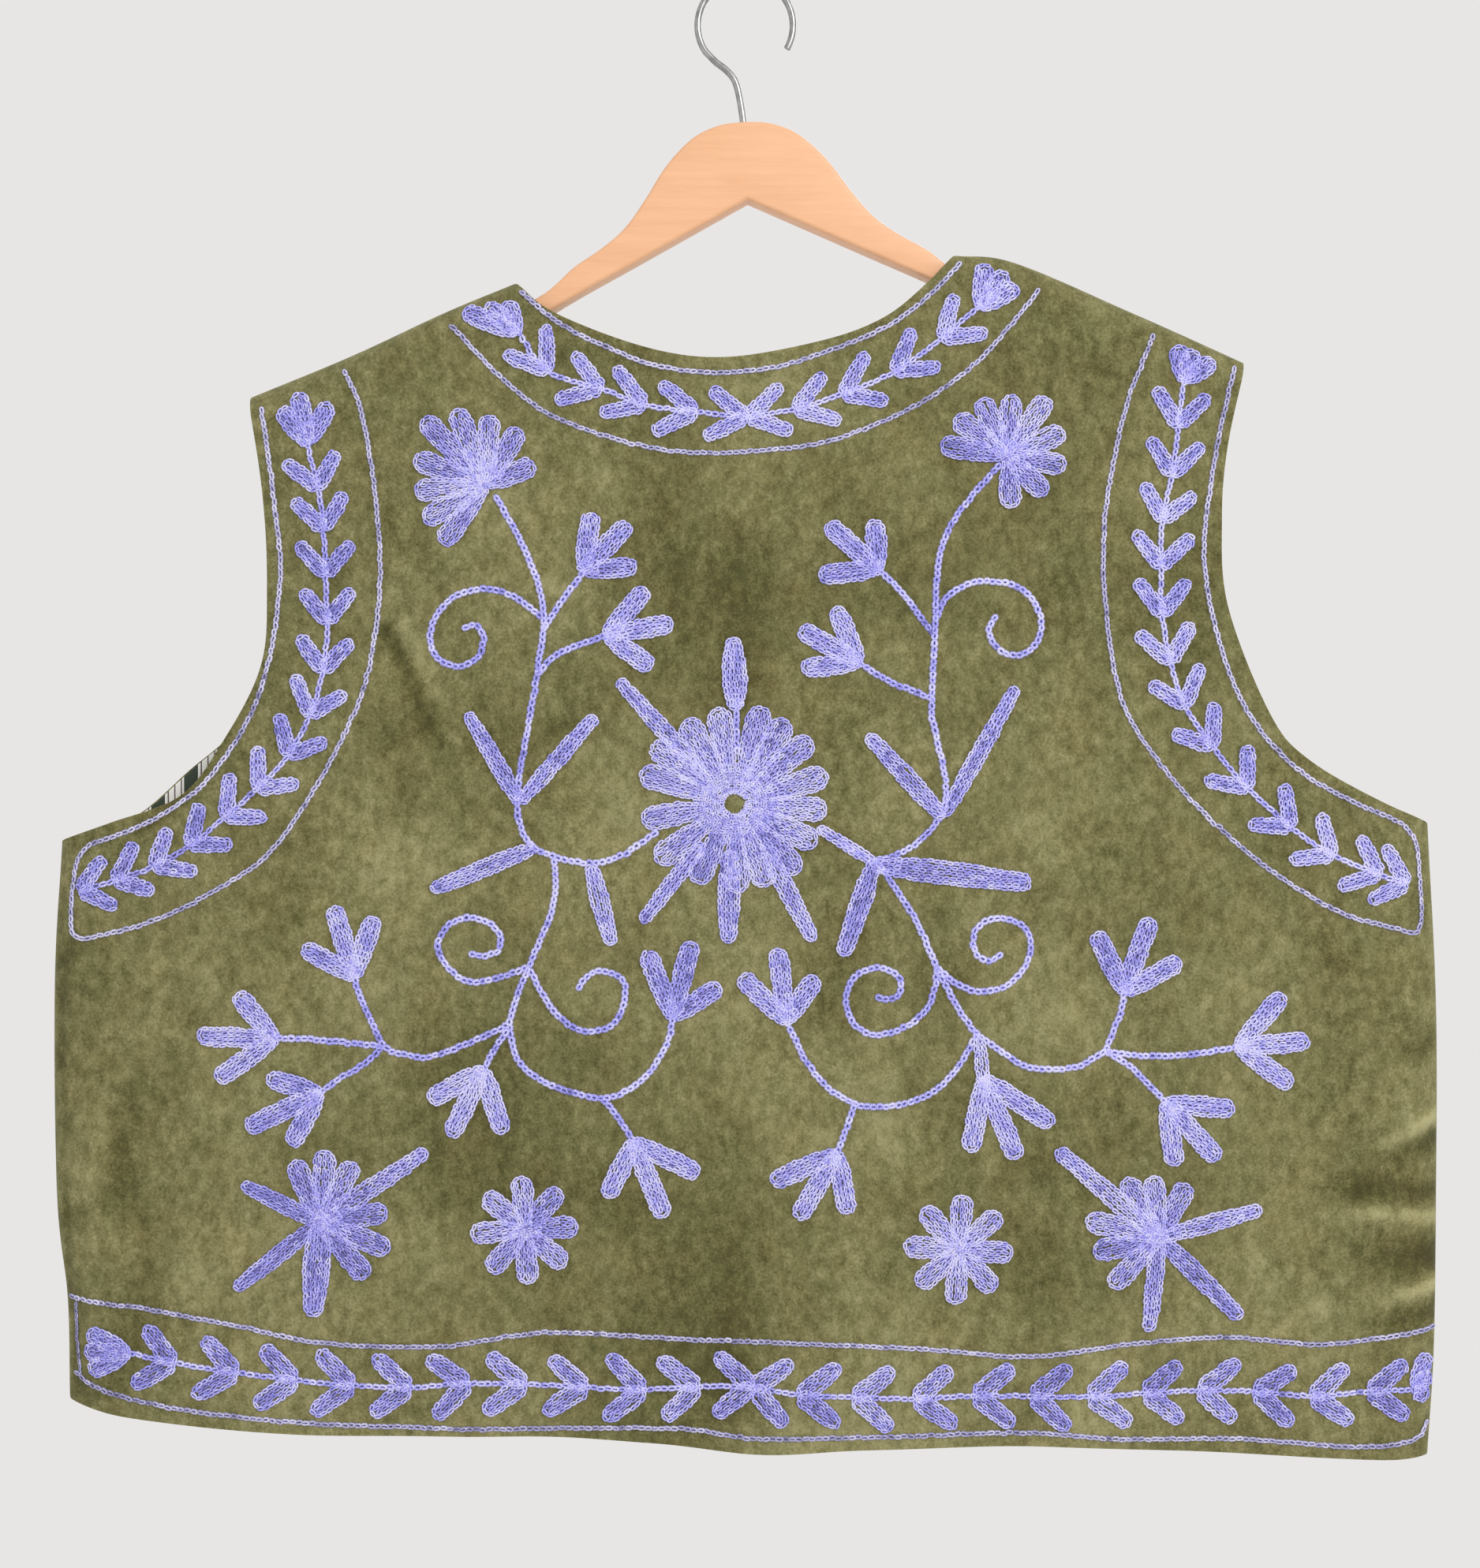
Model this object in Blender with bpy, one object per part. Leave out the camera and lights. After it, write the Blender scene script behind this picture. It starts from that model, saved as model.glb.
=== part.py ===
"""An embroidered velvet waistcoat hanging flat from a wooden hanger, seen from behind.

Frame: the origin is the inner top of the hanger's hook, +Z is up, -Y points out of the garment's back and
+X to the right of someone who looks at that back. Lengths are millimetres. The embroidery is charted in
stitches: a chart point (across, down) counts chain links from the centre line and from the chart's top line.
"""

import math

import bmesh
import bpy
from mathutils import Vector
from mathutils.bvhtree import BVHTree
from mathutils.geometry import delaunay_2d_cdt, intersect_point_tri_2d

MM = 0.001

# Layers of the cloth, from the face inwards.
VELVET_WALL = 2.0
LINING_WALL = 1.0
LINING_GAP = 0.7
SEAM_GAP = 0.3

# How the garment hangs: half its thickness, and how far in from a seam a panel turns round to meet it.
HALF_DEPTH = 11.5
SIDE_TURN = 27.0
SHOULDER_TURN = 12.0
TURN_ANGLES = (0, 30, 60)
AT_SEAM = 0.05

# Where the underarm and the neck point divide a panel's edges, as shares of its height and width, and how
# far across the neck's corner reaches.
UNDERARM = 0.52
NECK_POINT = 0.27
NECK_CORNER = 0.295

# How finely the cloth is cut into facets: steps between two points of an edge, rows below and above the
# underarm, columns of the back over the shoulder, over the neck's corner and to the centre, and of a front.
EDGE_STEPS = 4
BODY_ROWS = 7
YOKE_ROWS = 6
SHOULDER_COLUMNS = 3
CORNER_COLUMNS = 2
NECK_COLUMNS = 3
FRONT_COLUMNS = 6
CLOTH_SMOOTH_UNDER = 50

# The pattern's edges as (across, up), each from the hem or the shoulder tip inwards.
LEFT_SIDE = [(-312, -653), (-313, -608), (-318, -560), (-319, -463), (-315.5, -397)]
RIGHT_SIDE = [(315, -679), (318, -630), (319, -560), (319, -473), (315, -389)]
BACK_LEFT_ARMHOLE = [(-315.5, -397), (-290, -388.5), (-258, -376), (-238, -350.5), (-221, -316),
                     (-218.5, -280), (-221, -235), (-227.5, -192)]
BACK_RIGHT_ARMHOLE = [(315, -389), (289, -378), (257, -359.5), (240, -339.5), (220.5, -290), (217.5, -250),
                      (220, -218), (229, -176)]
FRONT_LEFT_ARMHOLE = [(-315.5, -397), (-285, -386), (-259, -364), (-240, -347), (-222, -318), (-214, -280),
                      (-219, -235), (-227.5, -192)]
FRONT_RIGHT_ARMHOLE = [(315, -389), (292, -383), (262, -372), (236, -345), (217, -294), (213, -250),
                       (218, -218), (229, -176)]
LEFT_SHOULDER = [(-227.5, -192), (-182, -173.2), (-139, -153.2), (-106.5, -139.7)]
RIGHT_SHOULDER = [(229, -176), (178, -153), (124, -130), (97, -126.7)]
BACK_NECK = [(-106.5, -139.7), (-88, -155), (-45, -171.4), (-9, -175.7), (34, -168.5), (63, -157.7),
             (83, -141.8), (97, -126.7)]
BACK_HEM = [(-312, -653), (-275, -661.3), (-201, -668), (-98, -668.7), (-43, -672), (5, -676.7), (56, -675),
            (128, -673), (227, -677), (290, -679.5), (315, -679)]
FRONT_LEFT_HEM = [(-312, -653), (-275, -659), (-201, -665), (-98, -666), (-5, -671)]
FRONT_RIGHT_HEM = [(315, -679), (227, -674.5), (128, -670.5), (56, -672), (5, -673)]
LEFT_FRONT_EDGE = [(-5, -671), (-5.5, -500), (-6, -360), (-22, -300), (-60, -235), (-92, -180),
                   (-106.5, -139.7)]
RIGHT_FRONT_EDGE = [(5, -673), (4.5, -500), (4, -352), (18, -292), (54, -226), (84, -170), (97, -126.7)]

# Soft folds of the hanging cloth, wide and low: each ridge or trough dies out at its first end.
FOLD_COLUMNS = ("from_x", "from_z", "to_x", "to_z", "width", "height")
BACK_FOLDS = [
    (-30, -230, -28, -660, 26, -1.3),
    (95, -330, 70, -670, 30, 1.2),
    (-150, -340, -110, -560, 28, -1.4),
    (-215, -330, -250, -640, 32, 1.3),
    (190, -420, 215, -676, 30, -1.4),
    (262, -505, 312, -520, 16, 1.2),
    (-120, -590, -122, -668, 24, 1.5),
    (10, -620, 12, -676, 26, 2.0),
    (150, -600, 152, -674, 26, 1.4),
]
FRONT_FOLDS = [
    (-60, -330, -75, -665, 26, -1.4),
    (-190, -330, -215, -650, 30, 1.5),
    (70, -330, 60, -670, 28, 1.4),
    (200, -380, 190, -674, 30, -1.4),
]

# Hanger, symmetrical about its own middle and tilted as it hangs: (out from the middle, up).
HANGER_TILT = 2.8
HANGER_MIDDLE = -0.7
HANGER_THICK = 12.0
HANGER_TOP = [(0, -66.2), (11, -67.2), (22, -71.4), (31, -78.6), (39, -87.7), (47, -99.5), (57, -112.2),
              (68, -121), (81, -129), (90, -136.6), (98, -142), (120, -152.5), (145, -163), (172, -175),
              (200, -187.5)]
HANGER_TIP = [(205, -191.5), (206, -196), (202, -200.5)]
HANGER_UNDERSIDE = [(172, -189), (145, -177), (120, -165), (87, -145.7), (51, -127.6), (0, -102.2)]
HANGER_ROUNDING = 2.5
WOOD_SMOOTH_UNDER = 40

# Hook: bent wire, with its stem in a hole in the hanger.
WIRE = 3.2
HOOK_RADIUS = 22.0
HOOK_START_ANGLE = 214
HOOK_END_ANGLE = -29
HOOK_STEP = 9
DRILL_SIDES = 16
STEM_DEPTH = 14.0
STEM_POINTS = [(-0.8, -66.2), (-2.3, -56), (-4.6, -46.5), (-8.6, -41.3), (-13.6, -37.4)]

# Embroidery: wool chain stitch, worked in rows that lie side by side.
STITCH = 3.6
CHART_TOP = -12.96
ROW = 0.85
WOOL_HEIGHT = 1.2
WOOL_CLEARANCE = 0.65
SHARP_FOLD = math.radians(3.0)
SAME_POINT = 1e-4

# A leaf or petal: its width at the base, and the cut of its round tip, as shares of its full width.
LOBE_BASE = 0.6
LOBE_TIP_RUN = 0.3
LOBE_TIP_WIDTH = 0.7

# A pointed leaf of the free motifs: where it is widest, and its widths at the base and near the tip.
LEAF_FULL_AT = 0.3
LEAF_BASE = 0.62
LEAF_TIP = 0.58

# Border vines run from a tulip at a seam; each later foot carries a pair of leaves that point back.
LEAF_WIDTH = 2.35
NECK_VINE = {
    "reach": 6.0,
    "spread": 33,
    "runs": [
        [(-29.0, 41.8), (-25.2, 47.0), (-18.4, 49.2), (-12.9, 51.3), (-6.4, 52.2), (0.0, 52.9)],
        [(29.8, 38.6), (25.0, 42.8), (19.0, 47.0), (12.4, 49.9), (6.4, 51.8), (0.3, 52.8)],
    ],
    "tulips": [
        ((-29.0, 42.2), [(-36.0, 39.3), (-33.0, 38.5), (-30.3, 38.0)]),
        ((29.8, 38.9), [(30.4, 33.2), (33.0, 34.3), (34.7, 36.2)]),
    ],
}
ARMHOLE_VINE_LEFT = {
    "reach": 5.5,
    "spread": 40,
    "runs": [[(-55.6, 56.0), (-54.3, 61.8), (-53.5, 67.0), (-53.3, 72.8), (-53.0, 78.8), (-53.6, 85.0),
              (-55.2, 90.6), (-57.9, 95.7), (-61.8, 99.9), (-65.9, 103.5), (-70.4, 107.1), (-74.9, 109.8),
              (-79.8, 111.6), (-84.4, 112.9)]],
    "tulips": [((-55.6, 56.2), [(-59.0, 51.6), (-56.7, 49.6), (-52.6, 51.0)])],
}
ARMHOLE_VINE_RIGHT = {
    "reach": 5.6,
    "spread": 40,
    "runs": [
        [(55.6, 48.0), (54.9, 53.9), (54.1, 60.1), (52.9, 65.9), (52.7, 71.8), (52.8, 77.8),
         (53.8, 83.8), (55.7, 89.4), (59.2, 94.6), (63.6, 99.9), (69.1, 104.8), (74.4, 108.4),
         (80.2, 110.8), (83.8, 112.0)],
    ],
    "tulips": [((55.6, 48.2), [(54.7, 43.6), (56.9, 44.2), (59.6, 45.6)])],
}
HEM_VINE = {
    "reach": 5.8,
    "spread": 39,
    "runs": [
        [(-78.2, 171.5), (-72.5, 172.7), (-64.7, 174.0), (-57.2, 175.0), (-50.0, 175.7), (-42.7, 175.9),
         (-35.3, 175.3), (-28.1, 175.5), (-20.4, 175.9), (-13.1, 176.3), (-6.2, 175.9), (0.8, 175.8)],
        [(84.6, 176.3), (79.2, 176.4), (72.0, 177.1), (64.8, 176.5), (57.8, 176.4), (50.8, 176.7),
         (43.7, 177.0), (36.5, 177.0), (29.2, 177.0), (21.6, 177.3), (13.9, 177.1), (7.0, 176.8),
         (1.1, 175.9)],
    ],
    "tulips": [((-78.2, 171.5), [(-83.6, 168.9), (-84.0, 171.4), (-83.4, 174.0)])],
}

# Ruled lines of the borders, each one row of chain.
RULED_LINES = {
    "neck_line_inner": [(-28.6, 36.9), (-23.7, 40.9), (-17.5, 44.0), (-11.9, 46.2), (-5.0, 47.2),
                        (2.9, 46.7), (10.5, 44.5), (18.2, 41.2), (23.3, 37.4), (27.4, 33.2)],
    "neck_line_outer": [(-37.3, 41.2), (-34.0, 44.8), (-30.3, 48.5), (-25.2, 52.3), (-18.0, 55.2),
                        (-9.0, 57.2), (0.3, 57.2), (10.5, 55.9), (20.7, 51.9), (28.4, 46.7),
                        (33.3, 41.6), (37.2, 36.7)],
    "armhole_line_left": [(-51.0, 46.9), (-48.7, 52.2), (-47.0, 62.5), (-46.3, 72.0), (-47.0, 80.5),
                          (-48.8, 88.4), (-53.4, 97.9), (-59.8, 107.5), (-66.2, 112.3), (-74.2, 116.4),
                          (-80.5, 118.3), (-85.2, 118.7), (-85.5, 112.8), (-84.0, 107.8), (-78.0, 105.3),
                          (-72.6, 102.4), (-68.1, 98.7), (-63.2, 91.6), (-60.3, 83.4), (-59.0, 73.0),
                          (-59.7, 64.4), (-60.6, 57.0), (-61.4, 51.7)],
    "armhole_line_right": [(51.8, 42.4), (50.3, 45.9), (48.4, 51.0), (46.3, 60.5), (45.4, 68.0),
                           (45.7, 77.0), (47.5, 88.0), (51.3, 95.2), (58.0, 103.0), (66.5, 110.3),
                           (75.0, 115.5), (82.0, 117.6), (85.6, 117.9), (85.8, 112.0), (84.4, 105.4),
                           (77.5, 101.9), (71.0, 98.3), (65.5, 92.9), (61.5, 85.6), (58.8, 76.0),
                           (58.2, 68.0), (59.4, 58.8), (61.0, 50.9), (62.0, 46.6)],
    "hem_line_upper": [(-84.0, 165.0), (-74.2, 166.2), (-64.0, 168.2), (-53.8, 170.3), (-38.8, 170.7),
                       (-25.4, 168.9), (-10.1, 169.8), (4.0, 170.3), (19.7, 170.8), (35.5, 172.0),
                       (49.3, 170.4), (61.3, 169.6), (71.7, 170.5), (79.0, 169.9), (85.8, 169.0)],
    "hem_line_lower": [(-81.9, 176.1), (-72.2, 178.6), (-55.9, 180.4), (-39.5, 181.0), (-25.4, 181.1),
                       (-9.0, 181.2), (1.4, 182.3), (15.5, 182.2), (35.5, 181.6), (49.3, 182.5),
                       (63.0, 182.6), (77.0, 183.4), (85.0, 182.7)],
}

# Free motifs. "stems" are rows of chain through chart points, "leaves" are (base, tip, width), "buds" are a
# base with three tips, and "flowers" are a hub with petals as (angle, length).
BUD_WIDTH = 2.9
PETAL_WIDTH = 3.1
CENTRE_PETAL_WIDTH = 3.5
VINE_LEFT = {
    "stems": [
        [(-31.7, 62.8), (-28.6, 68.5), (-26.3, 74.0), (-25.6, 79.0), (-26.4, 85.0), (-27.4, 91.0),
         (-28.6, 98.0), (-28.9, 103.0), (-27.8, 106.3), (-25.5, 108.2), (-19.5, 109.5), (-15.5, 108.3),
         (-13.5, 107.1)],
        [(-25.6, 79.8), (-23.5, 76.5), (-20.5, 72.5)],
        [(-26.4, 85.6), (-23.8, 82.9), (-17.7, 80.6)],
        [(-25.8, 78.4), (-28.5, 76.2), (-31.0, 75.0), (-33.8, 74.7), (-37.0, 75.7), (-39.3, 78.2),
         (-40.0, 81.0), (-38.9, 83.6), (-36.3, 84.5), (-33.9, 83.2), (-33.2, 80.8), (-34.2, 79.3),
         (-35.8, 79.6)],
        [(-24.3, 108.9), (-24.1, 112.5), (-24.7, 116.0), (-26.0, 119.0), (-27.3, 122.2), (-28.5, 125.0),
         (-29.5, 128.0), (-30.0, 130.0)],
        [(-27.6, 122.6), (-30.5, 123.7), (-34.5, 124.6), (-37.3, 123.2), (-39.0, 120.5), (-38.3, 118.0),
         (-36.0, 116.5), (-33.3, 116.7), (-31.3, 118.2), (-31.3, 120.3), (-33.0, 121.2), (-35.0, 120.9)],
        [(-27.4, 122.9), (-25.5, 126.5), (-23.0, 129.5), (-20.0, 130.8), (-17.0, 130.0), (-15.5, 127.5),
         (-15.3, 125.0), (-16.5, 123.6), (-18.6, 123.2), (-20.3, 124.0), (-21.2, 125.4)],
        [(-30.0, 129.9), (-32.5, 131.1), (-36.0, 132.6), (-40.0, 134.0), (-43.5, 133.7), (-45.9, 132.6),
         (-47.7, 129.0), (-49.0, 126.0), (-49.6, 123.8)],
        [(-46.0, 132.7), (-50.5, 132.2), (-55.0, 131.8), (-59.5, 131.6)],
        [(-46.0, 132.7), (-48.5, 135.0), (-51.5, 136.8), (-54.0, 138.6)],
        [(-30.2, 130.6), (-32.0, 133.3), (-33.3, 135.8)],
        [(-30.0, 129.9), (-29.4, 133.0), (-28.0, 135.5), (-25.5, 137.3), (-22.3, 138.4), (-18.2, 139.3),
         (-14.5, 138.0), (-11.6, 135.2), (-9.8, 131.8), (-9.2, 129.0)],
        [(-18.2, 139.3), (-16.3, 141.6), (-14.2, 144.8)],
    ],
    "leaves": [((-28.7, 101.6), (-35.4, 90.2), 2.5), ((-28.5, 101.6), (-18.9, 90.6), 2.5),
               ((-26.6, 107.4), (-40.0, 112.9), 2.6), ((-19.6, 109.7), (-16.9, 120.0), 2.8)],
    "buds": [
        ((-20.6, 72.3), [(-19.5, 64.8), (-14.6, 66.2), (-13.6, 71.8)]),
        ((-17.7, 80.5), [(-12.4, 74.5), (-9.0, 79.0), (-11.7, 84.8)]),
        ((-49.6, 123.8), [(-52.3, 114.7), (-47.0, 116.0), (-56.3, 120.0)]),
        ((-59.6, 131.7), [(-64.6, 125.8), (-69.6, 131.3), (-67.2, 137.0)]),
        ((-54.0, 138.6), [(-60.8, 136.6), (-63.4, 143.1), (-57.7, 145.4)]),
        ((-33.3, 135.7), [(-40.4, 139.6), (-37.6, 144.3), (-30.7, 143.9)]),
        ((-9.3, 129.0), [(-12.6, 120.4), (-6.8, 119.2), (-3.0, 124.9)]),
        ((-14.2, 144.8), [(-17.7, 152.0), (-10.2, 154.6), (-5.7, 149.0)]),
    ],
    "flowers": [
        (
            (-32.9, 61.6),
            [(24, 6.9), (60, 8.6), (87, 9.2), (111, 10.6), (133, 11.8), (159, 9.9), (184, 9.2),
             (209, 9.2), (233, 9.4)],
        ),
    ],
}
VINE_RIGHT = {
    "stems": [
        [(32.4, 58.8), (29.0, 62.5), (26.7, 65.5), (25.0, 69.0), (24.3, 73.0), (24.1, 78.0),
         (23.9, 83.0), (23.6, 90.0), (24.3, 94.0), (25.2, 98.0), (25.4, 101.0), (24.7, 103.5),
         (22.5, 106.2), (19.5, 108.2), (16.7, 109.3)],
        [(23.9, 80.5), (22.0, 78.0), (20.0, 75.3), (16.9, 72.2)],
        [(23.7, 88.6), (20.5, 87.3), (17.5, 86.0), (14.4, 84.0)],
        [(24.2, 78.3), (25.3, 76.0), (27.2, 74.5), (30.0, 73.7), (33.5, 74.0), (36.2, 75.8),
         (37.5, 78.6), (37.0, 81.3), (35.3, 82.9), (33.2, 83.0), (31.5, 81.7), (30.9, 79.7), (31.8, 78.1)],
        [(12.2, 106.9), (13.6, 107.8), (16.5, 109.4)],
        [(17.0, 109.6), (19.6, 113.6), (21.5, 116.5), (23.0, 119.8), (24.3, 122.8), (26.0, 126.2),
         (27.6, 128.9), (29.4, 131.1), (32.0, 133.0), (35.0, 135.0), (38.5, 135.6), (42.0, 135.2),
         (45.6, 133.3)],
        [(24.2, 122.6), (23.7, 126.4), (22.0, 129.0), (19.5, 130.5), (16.5, 131.2), (14.0, 130.0),
         (12.8, 127.5), (13.3, 124.6), (15.0, 123.1), (17.7, 122.8), (19.6, 124.2), (19.5, 126.0),
         (17.9, 126.8), (16.7, 126.3)],
        [(24.2, 122.6), (27.0, 124.9), (30.0, 125.7), (33.0, 125.0), (35.3, 122.8), (36.2, 120.2),
         (35.6, 118.0), (34.0, 116.8), (31.7, 116.4), (29.6, 117.4), (28.8, 119.3), (29.4, 121.2),
         (31.0, 121.8), (32.5, 120.9)],
        [(45.6, 133.3), (46.8, 130.3), (47.7, 128.0), (48.0, 125.8)],
        [(45.6, 133.3), (50.0, 133.9), (54.0, 133.9), (58.0, 133.5), (62.4, 132.7)],
        [(45.6, 133.3), (48.5, 135.0), (50.8, 137.2), (53.3, 139.8)],
        [(29.4, 131.1), (27.4, 134.6), (25.0, 137.5), (22.0, 139.3), (18.0, 140.3), (14.0, 140.0),
         (10.6, 138.0), (8.0, 135.0), (6.3, 131.8), (5.2, 129.5)],
        [(13.8, 140.0), (13.0, 142.5), (11.6, 146.2)],
    ],
    "leaves": [((25.1, 103.6), (15.3, 93.0), 2.7), ((25.3, 103.2), (34.4, 87.0), 2.5),
               ((16.2, 109.6), (36.4, 112.0), 3.4), ((16.4, 109.2), (12.2, 121.4), 3.0),
               ((29.6, 131.3), (30.3, 139.0), 2.1)],
    "buds": [
        ((16.9, 72.2), [(10.2, 66.3), (16.3, 65.7), (9.1, 73.0)]),
        ((14.4, 84.0), [(11.3, 76.8), (6.7, 79.6), (6.9, 84.8)]),
        ((48.0, 125.8), [(44.4, 118.0), (51.4, 116.2), (55.4, 121.7)]),
        ((62.4, 132.7), [(68.3, 125.9), (71.6, 132.0), (69.4, 137.8)]),
        ((53.3, 139.8), [(62.1, 140.7), (60.1, 147.2), (54.5, 148.0)]),
        ((5.2, 129.5), [(-0.8, 123.6), (4.0, 120.0), (9.1, 123.7)]),
        ((11.6, 146.2), [(3.1, 150.0), (6.5, 154.6), (13.0, 154.1)]),
        ((30.2, 136.8), [(28.4, 146.2), (34.5, 147.1), (39.1, 142.7)]),
    ],
    "flowers": [
        (
            (33.2, 57.9),
            [(24, 8.1), (56, 9.2), (86, 8.0), (115, 8.3), (143, 8.5), (170, 8.8), (-8, 7.7), (-44, 7.0),
             (-86, 6.7)],
        ),
    ],
}
FLOWER_LIFT = 3.0
HUB_CORNER = 45
CENTRE_HUB = (-1.4, 101.9)
CENTRE_EYE = 1.5
CENTRE_FLOWER = {
    "stems": [[(-1.1, 95.5), (-1.2, 88.6)]],
    "leaves": [((-1.2, 89.9), (-1.6, 80.6), 3.5), ((-5.5, 98.0), (-16.2, 86.1), 2.5),
               ((-5.5, 107.0), (-13.3, 117.1), 2.4), ((-2.0, 108.0), (-2.2, 119.8), 3.2),
               ((2.5, 107.5), (8.7, 119.4), 2.7)],
    "buds": [],
    "flowers": [
        (
            CENTRE_HUB,
            [(100, 12.5), (74, 13.0), (58, 12.7), (40, 12.9), (17, 12.5), (-4, 11.9), (-26, 11.7),
             (-47, 12.1), (-68, 11.5), (-88, 11.5), (-116, 11.4), (-144, 12.5), (-170, 12.1),
             (162, 12.7), (144, 13.0), (120, 12.5)],
        ),
    ],
}
CORNER_FLOWER_LEFT = {
    "stems": [],
    "leaves": [((-54.0, 155.0), (-40.2, 145.8), 2.7), ((-54.0, 155.0), (-54.8, 167.1), 3.8),
               ((-54.0, 155.0), (-64.8, 163.5), 2.5), ((-54.0, 155.0), (-63.9, 150.0), 2.5)],
    "buds": [],
    "flowers": [((-54.0, 155.0), [(112, 8.7), (85, 9.4), (60, 9.0), (9, 8.9), (-21, 9.7), (-49, 9.4)])],
}
CORNER_FLOWER_RIGHT = {
    "stems": [],
    "leaves": [((52.5, 157.0), (39.3, 145.6), 2.8), ((52.5, 157.0), (65.6, 153.3), 2.6),
               ((52.5, 157.0), (51.1, 169.0), 2.6), ((52.5, 157.0), (62.9, 167.2), 2.8)],
    "buds": [],
    "flowers": [((52.5, 157.0), [(120, 8.9), (96, 8.1), (63, 7.9), (166, 9.8), (192, 8.8), (225, 8.9)])],
}
SMALL_PETALS = 8


def small_flower(hub, first_angle, reach):
    petals = [(first_angle + 360.0 * number / SMALL_PETALS, reach) for number in range(SMALL_PETALS)]
    return {"stems": [], "leaves": [], "buds": [], "flowers": [(hub, petals)]}


FREE_MOTIFS = {
    "vine_left": VINE_LEFT,
    "vine_right": VINE_RIGHT,
    "centre_flower": CENTRE_FLOWER,
    "corner_flower_left": CORNER_FLOWER_LEFT,
    "corner_flower_right": CORNER_FLOWER_RIGHT,
    "small_flower_left": small_flower((-28.0, 156.0), 94, 7.0),
    "small_flower_right": small_flower((27.0, 158.4), 86, 7.1),
}
BORDER_VINES = {
    "neck_vine": NECK_VINE,
    "armhole_vine_left": ARMHOLE_VINE_LEFT,
    "armhole_vine_right": ARMHOLE_VINE_RIGHT,
    "hem_vine": HEM_VINE,
}


def clear_scene():
    for existing in list(bpy.data.objects):
        bpy.data.objects.remove(existing, do_unlink=True)


def make_material(name, colour, roughness, metallic=0.0):
    material = bpy.data.materials.new(name)
    material.use_nodes = True
    shader = material.node_tree.nodes["Principled BSDF"]
    shader.inputs["Base Color"].default_value = (*colour, 1.0)
    shader.inputs["Roughness"].default_value = roughness
    shader.inputs["Metallic"].default_value = metallic
    return material


def add_object(name, shape, material, smooth_under=None):
    """Turns a bmesh in millimetres into an object in metres."""
    bmesh.ops.scale(shape, vec=(MM, MM, MM), verts=shape.verts)
    mesh = bpy.data.meshes.new(name)
    shape.to_mesh(mesh)
    shape.free()
    mesh.materials.append(material)
    if smooth_under is not None:
        mesh.shade_smooth()
        mesh.set_sharp_from_angle(angle=math.radians(smooth_under))
    placed = bpy.data.objects.new(name, mesh)
    bpy.context.scene.collection.objects.link(placed)
    return placed


# ---------------------------------------------------------------- curves in the plane


def smooth_path(points, steps):
    """A Catmull-Rom curve through the points, with this many steps between each two."""
    ends = [Vector(point) for point in points]
    ends = [2 * ends[0] - ends[1]] + ends + [2 * ends[-1] - ends[-2]]
    path = []
    for before, start, stop, after in zip(ends, ends[1:], ends[2:], ends[3:]):
        for step in range(steps):
            t = step / steps
            path.append(0.5 * (2 * start + (stop - before) * t
                               + (2 * before - 5 * start + 4 * stop - after) * t ** 2
                               + (3 * start - before - 3 * stop + after) * t ** 3))
    path.append(ends[-2])
    return path


def along(edge, share):
    """The point this share of the way along an edge, given as paths with the share where each one stops."""
    low = 0.0
    for high, path in edge:
        if share <= high + 1e-9:
            break
        low = high
    lengths = [(b - a).length for a, b in zip(path, path[1:])]
    left = (share - low) / (high - low) * sum(lengths)
    for start, stop, length in zip(path, path[1:], lengths):
        if left <= length:
            return start.lerp(stop, left / length)
        left -= length
    return path[-1].copy()


def inward(path, towards):
    """Unit vectors across each point of a path, on the side of the given point."""
    crossings = []
    for number, point in enumerate(path):
        run = path[min(number + 1, len(path) - 1)] - path[max(number - 1, 0)]
        across = Vector((-run.y, run.x)).normalized()
        crossings.append(across if across.dot(towards - point) > 0 else -across)
    return crossings


# ---------------------------------------------------------------- cloth panels


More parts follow.
